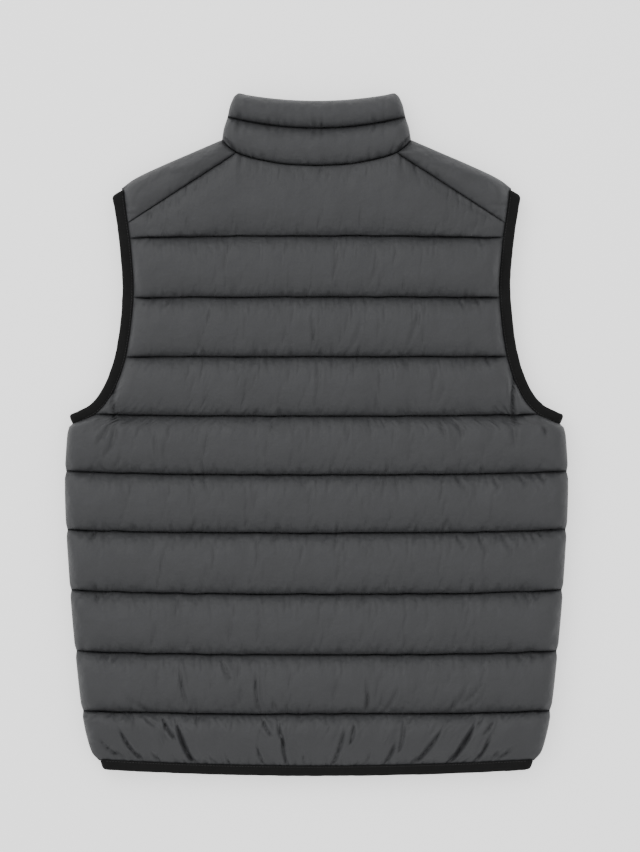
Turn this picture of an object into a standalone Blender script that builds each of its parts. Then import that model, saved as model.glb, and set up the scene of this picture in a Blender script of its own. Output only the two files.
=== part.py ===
"""A quilted vest that lies flat on its front, with its back up and its collar toward +Y.

The origin is at the bottom centre of the vest's box. X runs across the vest and Y along its length.
Sizes below are in millimetres. A height is measured along the vest from the bottom of its hem, and a
level is measured up from the surface that the vest lies on.
"""

from math import cos, pi, radians, sin, sqrt

import bmesh
import bpy
import numpy as np
from mathutils import Vector

MM = 0.001
UP = Vector((0, 0, 1))

# Whole vest
LENGTH = 758.7
INSIDE_LEVEL = 16.0
GAP = 0.3
SEAM_GAP = 0.4
SEAM_WALL = 2.2
BACK_PUFF = 18.5
YOKE_PUFF = 16.0
FRONT_PUFF = 20.0
COLLAR_PUFF = 15.0
FULL_CHANNEL = 66.0
FOLD_INSET = 3.0
FOLD_REACH = 12.0

# Edge of the panels: height, half width
PANEL_EDGE = (
    (17.0, 241.0),
    (26.0, 249.5),
    (40.0, 254.3),
    (66.0, 259.7),
    (133.0, 267.5),
    (212.0, 274.2),
    (325.0, 279.7),
    (375.0, 277.3),
    (388.0, 274.5),
    (396.0, 259.5),
    (404.0, 245.7),
    (419.5, 231.8),
    (449.0, 218.1),
    (477.0, 211.1),
    (518.0, 206.0),
    (546.0, 204.8),
    (586.0, 207.6),
    (613.0, 211.0),
    (640.0, 215.0),
    (655.5, 216.5),
)
ARMHOLE_START = 388.0
SIDE_ROUNDING = 17.0
CENTRE_ROUNDING = 13.0
LINE_NOTCH = 1.6
NOTCH_REACH = 7.0

# Quilt lines: height at the centre, rise at the panel's edge
QUILT_LINES = (
    (69.6, 3.6),
    (135.2, 4.0),
    (202.5, 4.0),
    (270.2, 3.6),
    (335.0, 3.4),
    (400.2, 2.6),
    (466.1, 0.0),
    (532.4, -1.8),
    (600.0, -4.2),
)
RISE_WIDTH = 260.0
HEM_TOP = 10.3
HEM_RISE = 7.0
HEM_WIDTH = 238.0

# Gathers over the hem: place at the hem, place at the first quilt line, share of the puff taken by
# the trough at the hem and at the line
GATHERS = (
    (-219.0, -243.0, 0.45, 0.10),
    (-195.0, -226.0, 0.42, 0.12),
    (-172.0, -203.0, 0.12, 0.32),
    (-152.0, -179.0, 0.14, 0.38),
    (-133.0, -157.0, 0.55, 0.25),
    (-97.0, -118.0, 0.20, 0.10),
    (-70.0, -86.0, 0.10, 0.14),
    (-50.0, -63.0, 0.35, 0.10),
    (-35.0, -45.0, 0.14, 0.30),
    (-22.0, -22.0, 0.38, 0.12),
    (-2.0, 2.0, 0.08, 0.10),
    (16.0, 30.0, 0.40, 0.16),
    (33.0, 47.0, 0.10, 0.30),
    (53.0, 72.0, 0.12, 0.12),
    (75.0, 100.0, 0.38, 0.30),
    (106.0, 142.0, 0.46, 0.14),
    (146.0, 181.0, 0.55, 0.25),
    (173.0, 205.0, 0.34, 0.34),
    (203.0, 236.0, 0.40, 0.10),
)
STRONG_TROUGH = 0.25
EDGE_COLUMNS = (0.955, 0.976, 0.991, 1.0)
BACK_SHARES = (0.0, 0.06, 0.2, 0.5, 0.8, 0.94)
FRONT_SHARES = (0.0, 0.08, 0.25, 0.75, 0.92)

# Seams at the top of the back: width, height
NECK_SEAM = (
    (0.0, 677.7),
    (30.0, 679.0),
    (61.0, 683.8),
    (85.0, 690.5),
    (97.0, 698.0),
    (105.5, 707.0),
)
SHOULDER_NECK_WIDTH = 89.0
SHOULDER_SEAM_ARM = (209.0, 615.0)

# Top of the shoulder, where the fronts fold over to the back: width, height
SHOULDER_FOLD = (
    (105.5, 706.6),
    (139.0, 692.3),
    (170.0, 679.0),
    (200.0, 665.5),
    (216.5, 655.5),
)
YOKE_SHARES = (0.1, 0.26, 0.5, 0.76, 0.93, 1.0)

# Centre front and front neck
FRONT_EDGE = 9.0
FRONT_NECK_HEIGHT = 628.0
FRONT_COLUMNS = (0.0, 0.012, 0.034)

# Collar: side outline as height and half width, then its three lines
COLLAR_SIDE = (
    (707.0, 105.0),
    (718.7, 103.2),
    (732.4, 98.9),
    (745.0, 96.0),
    (758.7, 89.9),
)
COLLAR_SIDE_LINE = 732.4
COLLAR_BACK_LINE = 720.0
COLLAR_BACK_TOP = 750.4
COLLAR_SIDE_TOP = 758.7
COLLAR_FRONT_LINE = 666.0
COLLAR_FRONT_TOP = 703.0
COLLAR_SHARES = (0.0, 0.08, 0.24, 0.5, 0.76, 0.92)
COLLAR_ROUNDING = 14.0
COLLAR_BACK_COLUMNS = 17

# Bindings
BINDING_WIDTH = 10.4
HEM_BINDING_WIDTH = 9.8
BINDING_THICKNESS = 5.0
BINDING_SECTION = ((0.0, 0.0), (0.0, 0.86), (0.25, 1.0), (0.75, 0.94), (0.97, 0.6), (1.0, 0.0))
UNDERARM_END = 393.2
SHOULDER_END = 645.0
HEM_BINDING_END = 235.5
FOLD_TURNS = (0.25, 0.5, 0.75)

# Zip at the centre front
ZIP_BOTTOM = 3.0
ZIP_TOP = 701.0
TAPE_OUTER = 8.6
TAPE_INNER = 3.1
TAPE_THICKNESS = 1.4
CHAIN_HALF_WIDTH = 2.8
CHAIN_THICKNESS = 2.2
BOX_HALF_WIDTH = 4.4
BOX_LENGTH = 9.0
BOX_THICKNESS = 3.4
ZIP_INSIDE = 0.3
SLIDER_TOP = 697.0
SLIDER_LENGTH = 12.0
SLIDER_HALF_WIDTH = 4.4
SLIDER_MOUTH_HALF_WIDTH = 3.2
SLIDER_THICKNESS = 4.2
BRIDGE_HALF_WIDTH = 1.2
BRIDGE_HALF_LENGTH = 3.0
BRIDGE_HEIGHT = 3.6
BRIDGE_WALL = 1.1
BRIDGE_ROOT = 0.5
PULL_AXIS_DROP = 1.25
PULL_PIN_RADIUS = 0.6
PULL_LENGTH = 30.0
PULL_HALF_WIDTH = 3.4
PULL_EYE_HALF_WIDTH = 1.8
PULL_EYE_LENGTH = 6.5
PULL_THICKNESS = 1.2

SHELL_GREY = (0.082, 0.082, 0.086, 1.0)
BINDING_BLACK = (0.012, 0.012, 0.013, 1.0)
ZIP_BLACK = (0.015, 0.015, 0.016, 1.0)


def clear_scene():
    for thing in list(bpy.data.objects):
        bpy.data.objects.remove(thing)


def material(name, colour, roughness, metallic=0.0):
    """A plain finish."""
    finish = bpy.data.materials.new(name)
    finish.use_nodes = True
    surface = finish.node_tree.nodes["Principled BSDF"]
    surface.inputs["Base Color"].default_value = colour
    surface.inputs["Roughness"].default_value = roughness
    surface.inputs["Metallic"].default_value = metallic
    return finish


def spot(x, height, level):
    """The point in the scene's metres of a place on the vest."""
    return Vector((x, height - LENGTH / 2, level)) * MM


def mix(low, high, share):
    return low + (high - low) * share


def smooth(table, at):
    """Reads a table of two columns along a curve that never swings past its rows."""
    places, values = np.array(table).T
    steps = np.diff(places)
    slopes = np.diff(values) / steps
    bends = [slopes[0]]
    for before, after in zip(slopes, slopes[1:]):
        bends.append(2 * before * after / (before + after) if before * after > 0 else 0.0)
    bends.append(slopes[-1])
    row = int(np.clip(np.searchsorted(places, at) - 1, 0, len(steps) - 1))
    share = float(np.clip((at - places[row]) / steps[row], 0, 1))
    rest = 1 - share
    ends = values[row] * rest * rest * (1 + 2 * share) + values[row + 1] * share * share * (1 + 2 * rest)
    turn = steps[row] * share * rest * (bends[row] * rest - bends[row + 1] * share)
    return float(ends + turn)


def half_width(height):
    """Half the panels' width, a little notched where a quilt line reaches the side."""
    notch = 0.0
    for centre, rise in QUILT_LINES:
        if centre < ARMHOLE_START:
            notch += LINE_NOTCH * max(0.0, 1 - abs(height - centre - rise) / NOTCH_REACH)
    return smooth(PANEL_EDGE, height) - notch


def quilt_line(centre, rise):
    return lambda x: centre + rise * abs(x / RISE_WIDTH) ** 3


def hem_edge(x):
    return HEM_TOP + HEM_RISE * (x / HEM_WIDTH) ** 2


def neck_seam(x):
    return smooth(NECK_SEAM, abs(x))


def back_top(x):
    """The back's neck seam, then its shoulder seam."""
    neck_height = neck_seam(SHOULDER_NECK_WIDTH) - SEAM_GAP
    arm_width, arm_height = SHOULDER_SEAM_ARM
    share = (abs(x) - SHOULDER_NECK_WIDTH) / (arm_width - SHOULDER_NECK_WIDTH)
    return neck_seam(x) - SEAM_GAP if share < 0 else mix(neck_height, arm_height, share)


def front_top(x):
    """The front's neck seam, then the fold over the shoulder."""
    fold_width, fold_height = SHOULDER_FOLD[0]
    if abs(x) >= fold_width:
        return smooth(SHOULDER_FOLD, abs(x))
    share = (abs(x) - FRONT_EDGE) / (fold_width - FRONT_EDGE)
    return fold_height - (fold_height - FRONT_NECK_HEIGHT) * sqrt(1 - share * share)


def edge_height(line):
    """The height at which a line across the panel reaches its edge."""
    height = line(0)
    for _ in range(5):
        height = line(half_width(height))
    return height


def puff(share):
    """Fullness across a channel, from none at its two seams to one at its middle."""
    return (1 - abs(2 * share - 1) ** 2.4) ** 0.6


def rounding(distance, reach):
    """A quarter round from none at an edge to one at its reach."""
    share = min(max(distance / reach, 0.0), 1.0)
    return sqrt(1 - (1 - share) ** 2)


def fold_inset(distance):
    """How far inside its outer face the inner face stands, near a fold."""
    return FOLD_INSET * max(0.0, 1 - distance / FOLD_REACH)


def channel_fullness(length):
    return min(1.0, length / FULL_CHANNEL) ** 0.6


def body_lines(top):
    """The lines between which the channels of a body panel lie, from the hem up."""
    return [hem_edge] + [quilt_line(centre, rise) for centre, rise in QUILT_LINES] + [top]


def gather_columns(gathers):
    """Columns of a panel as shares of its half width at the hem and above, with the gathers' troughs.

    A ridge stands midway between each two troughs.
    """
    hem_width = half_width(edge_height(hem_edge))
    line_width = half_width(QUILT_LINES[0][0])
    columns = []
    for hem_place, line_place, hem_trough, line_trough in gathers:
        here = (hem_place / hem_width, line_place / line_width, hem_trough, line_trough)
        if columns:
            last = columns[-1]
            columns.append((mix(last[0], here[0], 0.5), mix(last[1], here[1], 0.5), 0.0, 0.0))
        columns.append(here)
    return columns


def edge_columns(side):
    return [(side * share, side * share, 0.0, 0.0) for share in EDGE_COLUMNS]


def panel_rows(lines, shares):
    """Rows of a panel: the channel, its two lines and the share of the way between them."""
    rows = []
    for channel in range(len(lines) - 1):
        for share in shares:
            rows.append((channel, lines[channel], lines[channel + 1], share))
    rows.append((len(lines) - 2, lines[-2], lines[-1], 1.0))
    return rows


def make_object(name, mesh_data, finish, flat=False):
    """Turns a bmesh into a named object with its faces pointing out."""
    bmesh.ops.recalc_face_normals(mesh_data, faces=mesh_data.faces)
    mesh = bpy.data.meshes.new(name)
    mesh_data.to_mesh(mesh)
    mesh_data.free()
    mesh.materials.append(finish)
    if not flat:
        mesh.shade_smooth()
        mesh.set_sharp_from_angle(angle=radians(50))
    thing = bpy.data.objects.new(name, mesh)
    bpy.context.scene.collection.objects.link(thing)
    return thing


def shell(name, outer, inner, finish):
    """A closed wall between two like grids of points, with None where there is no cloth.

    The inside faces that share one level become one plain face.
    """
    mesh_data = bmesh.new()
    outside = {}
    inside = {}
    for row, points in enumerate(outer):
        for column, point in enumerate(points):
            if point is not None:
                outside[row, column] = mesh_data.verts.new(point)
                inside[row, column] = mesh_data.verts.new(inner[row][column])
    sides = set()
    plain_faces = {}
    for row, column in sorted(outside):
        ring = [(row, column), (row, column + 1), (row + 1, column + 1), (row + 1, column)]
        if not all(corner in outside for corner in ring):
            continue
        mesh_data.faces.new([outside[corner] for corner in ring])
        lining = mesh_data.faces.new([inside[corner] for corner in reversed(ring)])
        levels = {round(inside[corner].co.z / MM, 2) for corner in ring}
        if len(levels) == 1:
            plain_faces.setdefault(levels.pop(), []).append(lining)
        sides.update(zip(ring, ring[1:] + ring[:1]))
    for start, end in sorted(sides):
        if (end, start) not in sides:
            mesh_data.faces.new([outside[end], outside[start], inside[start], inside[end]])
    for faces in plain_faces.values():
        bmesh.ops.dissolve_faces(mesh_data, faces=faces, use_verts=False)
    loose = [vertex for vertex in mesh_data.verts if not vertex.link_faces]
    bmesh.ops.delete(mesh_data, geom=loose, context="VERTS")
    return make_object(name, mesh_data, finish)


def build_back(finish):
    """The back: ten channels over a plain inside, gathered into the hem."""
    columns = edge_columns(-1)[::-1] + gather_columns(GATHERS) + edge_columns(1)
    lines = body_lines(back_top)
    top_width = half_width(edge_height(back_top))
    corner_share = SHOULDER_NECK_WIDTH / top_width
    body_shares = [column[1] for column in columns]
    left_corner = min(body_shares, key=lambda share: abs(share + corner_share))
    right_corner = min(body_shares, key=lambda share: abs(share - corner_share))
    inside = INSIDE_LEVEL + GAP / 2
    outer = []
    inner = []
    edge = []
    for channel, lower, upper, share in panel_rows(lines, BACK_SHARES):
        edge_place = mix(edge_height(lower), edge_height(upper), share)
        width = half_width(edge_place)
        outer_row = []
        inner_row = []
        for hem_place, line_place, hem_trough, line_trough in columns:
            place = line_place
            trough = 0.0
            if channel == 0:
                place = mix(hem_place, line_place, share)
                trough = mix(hem_trough, line_trough, share)
            if channel == len(lines) - 2:
                top_place = np.interp(line_place, (-1, left_corner, right_corner, 1),
                                      (-1, -corner_share, corner_share, 1))
                place = mix(line_place, float(top_place), share)
            x = place * width
            height = mix(lower(x), upper(x), share)
            full = BACK_PUFF * puff(share) * channel_fullness(upper(x) - lower(x))
            full *= rounding(width - abs(x), SIDE_ROUNDING) * (1 - trough)
            outer_row.append(spot(x, height, inside + SEAM_WALL + full))
            inner_row.append(spot(x, height, inside))
        outer.append(outer_row)
        inner.append(inner_row)
        edge.append((x, height))
    shell("back", outer, inner, finish)
    return edge, [point.x / MM for point in inner[0]]


def front_columns(side):
    """Columns of one front from its centre edge to its side, with the gathers of that side."""
    own = [gather for gather in GATHERS
           if side * gather[0] > 2 * FRONT_EDGE and max(gather[2:]) > STRONG_TROUGH]
    own = [(side * hem, side * line, low, high) for hem, line, low, high in own]
    own.sort()
    centre = [(share, share, 0.0, 0.0) for share in FRONT_COLUMNS]
    hem_start = FRONT_EDGE / half_width(edge_height(hem_edge))
    line_start = FRONT_EDGE / half_width(QUILT_LINES[0][0])
    outward = []
    for hem, line, low, high in gather_columns(own):
        hem_share = (hem - hem_start) / (1 - hem_start)
        line_share = (line - line_start) / (1 - line_start)
        outward.append((hem_share, line_share, low, high))
    return centre + outward + edge_columns(1)


def front_place(share, width):
    return mix(FRONT_EDGE, width, share)


def build_front(name, side, finish):
    """One front: flat where it rests, quilted above the surface, and folded over its shoulder."""
    columns = front_columns(side)
    lines = body_lines(front_top)
    top_width = half_width(edge_height(front_top))
    fold_width = SHOULDER_FOLD[0][0]
    body_shares = [column[1] for column in columns]
    corner_share = (fold_width - FRONT_EDGE) / (top_width - FRONT_EDGE)
    corner = min(range(len(columns)), key=lambda index: abs(body_shares[index] - corner_share))
    top_shares = []
    for index, body_share in enumerate(body_shares):
        if index <= corner:
            top_shares.append(corner_share * sin(pi / 2 * index / corner))
        else:
            past = (body_share - body_shares[corner]) / (1 - body_shares[corner])
            top_shares.append(mix(corner_share, 1.0, past))
    inside = INSIDE_LEVEL - GAP / 2
    outer = []
    inner = []
    edge = []
    for channel, lower, upper, share in panel_rows(lines, FRONT_SHARES):
        edge_place = mix(edge_height(lower), edge_height(upper), share)
        width = half_width(edge_place)
        outer_row = []
        inner_row = []
        for index, (hem_share, line_share, hem_trough, line_trough) in enumerate(columns):
            place = line_share
            trough = 0.0
            if channel == 0:
                place = mix(hem_share, line_share, share)
                trough = mix(hem_trough, line_trough, share)
            if channel == len(lines) - 2:
                place = mix(line_share, top_shares[index], share)
            x = front_place(place, width)
            height = mix(lower(x), upper(x), share)
            full = FRONT_PUFF * puff(share) * channel_fullness(upper(x) - lower(x)) * (1 - trough)
            full *= rounding(width - x, SIDE_ROUNDING) * rounding(x - FRONT_EDGE, CENTRE_ROUNDING)
            wall = SEAM_WALL
            inner_height = height
            if share == 1.0 and index >= corner:
                wall = -GAP / 2
                inner_height = height - FOLD_INSET
            outer_row.append(spot(side * x, height, max(0.0, inside - wall - full)))
            inner_row.append(spot(side * x, inner_height, inside))
        outer.append(outer_row)
        inner.append(inner_row)
        edge.append((x, height))
    hem_places = [abs(point.x) / MM for point in inner[0]]
    yoke_edge = add_yoke(outer, inner, side, top_shares, corner, top_width)
    shell(name, outer, inner, finish)
    return edge, yoke_edge, hem_places, corner


def add_yoke(outer, inner, side, top_shares, corner, top_width):
    """Carries a front on over its shoulder to the seam on the back."""
    inside = INSIDE_LEVEL + GAP / 2
    fold_width, fold_height = SHOULDER_FOLD[0]
    arm_fold_height = SHOULDER_FOLD[-1][1]
    neck_shift = fold_width - SHOULDER_NECK_WIDTH
    arm_seam_height = edge_height(back_top) + SEAM_GAP
    edge = []
    for share in YOKE_SHARES:
        neck_x = fold_width - neck_shift * share
        neck_height = neck_seam(neck_x) - SEAM_GAP + (GAP + SEAM_GAP) * share
        arm_height = mix(arm_fold_height, arm_seam_height, share)
        arm_x = half_width(arm_height)
        outer_row = [None] * len(top_shares)
        inner_row = [None] * len(top_shares)
        for index in range(corner, len(top_shares)):
            along = (top_shares[index] - top_shares[corner]) / (1 - top_shares[corner])
            fold_x = front_place(top_shares[index], top_width)
            chord = mix(fold_height, arm_fold_height, along)
            bulge = (front_top(fold_x) - chord) * (1 - share)
            x = mix(neck_x, arm_x, along)
            height = mix(neck_height, arm_height, along) + bulge
            full = YOKE_PUFF * puff(share) * rounding(arm_x - x, SIDE_ROUNDING)
            full *= rounding(x - neck_x + 2 * GAP, SIDE_ROUNDING)
            outer_row[index] = spot(side * x, height, inside + SEAM_WALL * share + full + GAP)
            inner_row[index] = spot(side * x, height - FOLD_INSET * (1 - share), inside)
        outer.append(outer_row)
        inner.append(inner_row)
        edge.append((arm_x, arm_height))
    return edge


def build_collar(neck_steps, finish):
    """The collar: a band of two channels, folded flat at both sides, with its ends at the centre front.

    Each front half has as many steps along its neck seam as the front that it meets.
    """
    rows = []
    for channel in range(2):
        for share in COLLAR_SHARES:
            rows.append((channel, share))
    rows.append((1, 1.0))
    back_places = [sin(pi / 2 * mix(-1, 1, step / (COLLAR_BACK_COLUMNS - 1)))
                   for step in range(COLLAR_BACK_COLUMNS)]
    side_lines = (COLLAR_SIDE[0][0] + SEAM_GAP, COLLAR_SIDE_LINE, COLLAR_SIDE_TOP)
    back_lines = (None, COLLAR_BACK_LINE, COLLAR_BACK_TOP)
    front_lines = (FRONT_NECK_HEIGHT + SEAM_GAP, COLLAR_FRONT_LINE, COLLAR_FRONT_TOP)
    outer = []
    inner = []
    for channel, share in rows:
        side_height = mix(side_lines[channel], side_lines[channel + 1], share)
        width = smooth(COLLAR_SIDE, side_height)
        front_height = mix(front_lines[channel], front_lines[channel + 1], share)
        outer_row = []
        inner_row = []
        for side, steps in zip((-1, 1), neck_steps):
            turns = [pi / 2 * step / steps for step in range(steps)][::-side]
            flat = []
            for turn in turns:
                x = FRONT_EDGE + (width - FRONT_EDGE) * sin(turn)
                height = side_height - (side_height - front_height) * cos(turn)
                full = FRONT_PUFF * puff(share) * rounding(x - FRONT_EDGE, CENTRE_ROUNDING)
                full *= rounding(width - x, COLLAR_ROUNDING)
                inside = INSIDE_LEVEL - GAP / 2
                inner_x = x - fold_inset(width - x)
                flat.append((spot(side * x, height, max(0.0, inside - SEAM_WALL - full)),
                             spot(side * inner_x, height, inside)))
            if side > 0:
                back = collar_back_row(back_places, back_lines, side_lines, channel, share, width,
                                       side_height)
                outer_row += [point for point, _ in back]
                inner_row += [point for _, point in back]
            outer_row += [point for point, _ in flat]
            inner_row += [point for _, point in flat]
        outer.append(outer_row)
        inner.append(inner_row)
    shell("collar", outer, inner, finish)


def collar_back_row(places, centre_lines, side_lines, channel, share, width, side_height):
    """One row of the back half of the collar, fold to fold, as pairs of outer and inner points."""
    pairs = []
    for place in places:
        x = place * width
        rise = place * place
        lows = [neck_seam(x) + SEAM_GAP if centre is None else mix(centre, side, rise)
                for centre, side in zip(centre_lines, side_lines)]
        height = mix(lows[channel], lows[channel + 1], share)
        inside = INSIDE_LEVEL + GAP / 2
        if abs(place) > 0.9999:
            inner_x = place * (width - FOLD_INSET)
            pairs.append((spot(x, side_height, INSIDE_LEVEL),
                          spot(inner_x, side_height, INSIDE_LEVEL - GAP / 2)))
            continue
        distance = width - abs(x)
        full = COLLAR_PUFF * puff(share) * rounding(distance, COLLAR_ROUNDING)
        inner_x = place * (width - fold_inset(distance))
        pairs.append((spot(x, height, inside + SEAM_WALL + full), spot(inner_x, height, inside)))
    return pairs


def outward_directions(points):
    """At each point of a path across or up the vest, the level direction to its right."""
    directions = []
    for index in range(len(points)):
        ahead = points[min(index + 1, len(points) - 1)] - points[max(index - 1, 0)]
        directions.append(Vector((ahead.y, -ahead.x, 0)).normalized())
    return directions


def binding_ring(base, outward, lift, width):
    """One section of a binding. The lift points from the slit between its halves to its face."""
    ring = []
    start = Vector((base.x, base.y, INSIDE_LEVEL * MM)) + lift * (GAP / 2 * MM) + outward * (GAP * MM)
    for across, up in BINDING_SECTION:
        ring.append(start + outward * (across * width * MM) + lift * (up * BINDING_THICKNESS * MM))
    return ring


def half_rings(points, lift, width):
    """Rings along one half of a binding. Its outer side is on the right of the upper half's path."""
    side = 1 if lift.z > 0 else -1
    return [binding_ring(base, outward * side, lift, width)
            for base, outward in zip(points, outward_directions(points))]


def fold_rings(points, outward, lift, width):
    """Rings round the end of the slit that a path reaches, from one half of a binding to the other."""
    ahead = (points[-1] - points[-2]).normalized()
    rings = []
    for turn in FOLD_TURNS:
        turned = lift * cos(pi * turn) + ahead * sin(pi * turn)
        rings.append(binding_ring(points[-1], outward, turned, width))
    return rings


def skin_rings(name, rings, closed, finish):
    """Skins a run of rings as one closed body."""
    mesh_data = bmesh.new()
    loops = [[mesh_data.verts.new(point) for point in ring] for ring in rings]
    pairs = list(zip(loops, loops[1:]))
    if closed:
        pairs.append((loops[-1], loops[0]))
    else:
        mesh_data.faces.new(loops[0])
        mesh_data.faces.new(loops[-1][::-1])
    for here, there in pairs:
        for index in range(len(here)):
            after = (index + 1) % len(here)
            mesh_data.faces.new((here[after], here[index], there[index], there[after]))
    return make_object(name, mesh_data, finish)


def edge_path(side, edge, low, high):
    """Points of a panel's edge between two heights, with one at each end."""
    widths, heights = zip(*edge)
    kept = [low] + [height for height in heights if low + 3 < height < high - 3] + [high]
    return [spot(side * np.interp(height, heights, widths), height, INSIDE_LEVEL) for height in kept]


def build_armhole_binding(name, side, upper_edge, lower_edge, finish):
    """A loop of binding round one armhole, folded flat at the shoulder and under the arm."""
    upper = edge_path(side, upper_edge, UNDERARM_END, SHOULDER_END)
    lower = edge_path(side, lower_edge, UNDERARM_END, SHOULDER_END)
    if side > 0:
        lower.reverse()
    else:
        upper.reverse()
    outward = outward_directions(upper)
    start_fold = fold_rings(upper[::-1], outward[0], UP, BINDING_WIDTH)[::-1]
    end_fold = fold_rings(upper, outward[-1], UP, BINDING_WIDTH)
    rings = half_rings(upper, UP, BINDING_WIDTH) + end_fold
    rings += half_rings(lower, -UP, BINDING_WIDTH) + start_fold
    skin_rings(name, rings, True, finish)


def hem_path(places, start, end):
    """Points along the hem from one place across it to another."""
    low, high = sorted((start, end))
    path = [low] + [x for x in sorted(places) if low + 3 < x < high - 3] + [high]
    if end < start:
        path.reverse()
    return [spot(x, hem_edge(x), INSIDE_LEVEL) for x in path]


def build_hem_binding(back_places, front_places, finish):
    """A band of binding along the hem, folded flat at both sides, with its ends at the centre front."""
    left = hem_path([-x for x in front_places[0]], -FRONT_EDGE, -HEM_BINDING_END)
    upper = hem_path(back_places, -HEM_BINDING_END, HEM_BINDING_END)
    right = hem_path(front_places[1], HEM_BINDING_END, FRONT_EDGE)
    outward = outward_directions(upper)
    left_fold = fold_rings(upper[::-1], outward[0], UP, HEM_BINDING_WIDTH)[::-1]
    right_fold = fold_rings(upper, outward[-1], UP, HEM_BINDING_WIDTH)
    rings = half_rings(left, -UP, HEM_BINDING_WIDTH) + left_fold
    rings += half_rings(upper, UP, HEM_BINDING_WIDTH) + right_fold
    rings += half_rings(right, -UP, HEM_BINDING_WIDTH)
    skin_rings("hem_binding", rings, False, finish)


def prism(name, outline, along, finish):
    """A flat outline carried along a straight line."""
    mesh_data = bmesh.new()
    face = mesh_data.faces.new([mesh_data.verts.new(point) for point in outline])
    carried = bmesh.ops.extrude_face_region(mesh_data, geom=[face])
    moved = [part for part in carried["geom"] if isinstance(part, bmesh.types.BMVert)]
    bmesh.ops.translate(mesh_data, verts=moved, vec=along)
    return make_object(name, mesh_data, finish, flat=True)


def strip(name, low_x, high_x, low_height, high_height, face_level, thickness, finish):
    """A straight flat piece along the zip, its thickness running up from the level of its face."""
    outline = [spot(low_x, low_height, face_level), spot(high_x, low_height, face_level),
               spot(high_x, high_height, face_level), spot(low_x, high_height, face_level)]
    return prism(name, outline, UP * thickness * MM, finish)


def build_zip(finish):
    """The zip's tapes, chain and box, face down between the fronts."""
    back_level = INSIDE_LEVEL - ZIP_INSIDE
    tape_face = back_level - TAPE_THICKNESS
    tape_bottom = ZIP_BOTTOM + BOX_LENGTH + GAP
    strip("zip_tape_left", -TAPE_OUTER, -TAPE_INNER, tape_bottom, ZIP_TOP, tape_face, TAPE_THICKNESS, finish)
    strip("zip_tape_right", TAPE_INNER, TAPE_OUTER, tape_bottom, ZIP_TOP, tape_face, TAPE_THICKNESS, finish)
    strip("zip_chain", -CHAIN_HALF_WIDTH, CHAIN_HALF_WIDTH, tape_bottom, ZIP_TOP,
          back_level - CHAIN_THICKNESS, CHAIN_THICKNESS, finish)
    strip("zip_box", -BOX_HALF_WIDTH, BOX_HALF_WIDTH, ZIP_BOTTOM, ZIP_BOTTOM + BOX_LENGTH,
          back_level - BOX_THICKNESS, BOX_THICKNESS, finish)


def build_slider(finish):
    """The slider on the chain near the collar's top, with the bridge that carries its pull."""
    top = INSIDE_LEVEL - ZIP_INSIDE - CHAIN_THICKNESS - GAP
    face = top - SLIDER_THICKNESS
    bottom_height = SLIDER_TOP - SLIDER_LENGTH
    waist_height = mix(bottom_height, SLIDER_TOP, 0.45)
    outline = [spot(-SLIDER_MOUTH_HALF_WIDTH, bottom_height, face),
               spot(SLIDER_MOUTH_HALF_WIDTH, bottom_height, face),
               spot(SLIDER_HALF_WIDTH, waist_height, face),
               spot(SLIDER_HALF_WIDTH, SLIDER_TOP, face),
               spot(-SLIDER_HALF_WIDTH, SLIDER_TOP, face),
               spot(-SLIDER_HALF_WIDTH, waist_height, face)]
    slider = prism("zip_slider", outline, UP * SLIDER_THICKNESS * MM, finish)
    middle = SLIDER_TOP - SLIDER_LENGTH / 2
    hole = BRIDGE_HALF_LENGTH - BRIDGE_WALL
    root = face + BRIDGE_ROOT
    ends = ((-BRIDGE_HALF_LENGTH, root), (-BRIDGE_HALF_LENGTH, face - BRIDGE_HEIGHT),
            (BRIDGE_HALF_LENGTH, face - BRIDGE_HEIGHT), (BRIDGE_HALF_LENGTH, root),
            (hole, root), (hole, face - BRIDGE_HEIGHT + BRIDGE_WALL),
            (-hole, face - BRIDGE_HEIGHT + BRIDGE_WALL), (-hole, root))
    profile = [spot(-BRIDGE_HALF_WIDTH, middle + along, level) for along, level in ends]
    bridge = prism("zip_bridge_guide", profile, Vector((2 * BRIDGE_HALF_WIDTH * MM, 0, 0)), finish)
    bridge.hide_render = True
    bridge.display_type = "WIRE"
    union = slider.modifiers.new("bridge", "BOOLEAN")
    union.operation = "UNION"
    union.solver = "EXACT"
    union.object = bridge
    return spot(0, middle, face - PULL_AXIS_DROP)


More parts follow.
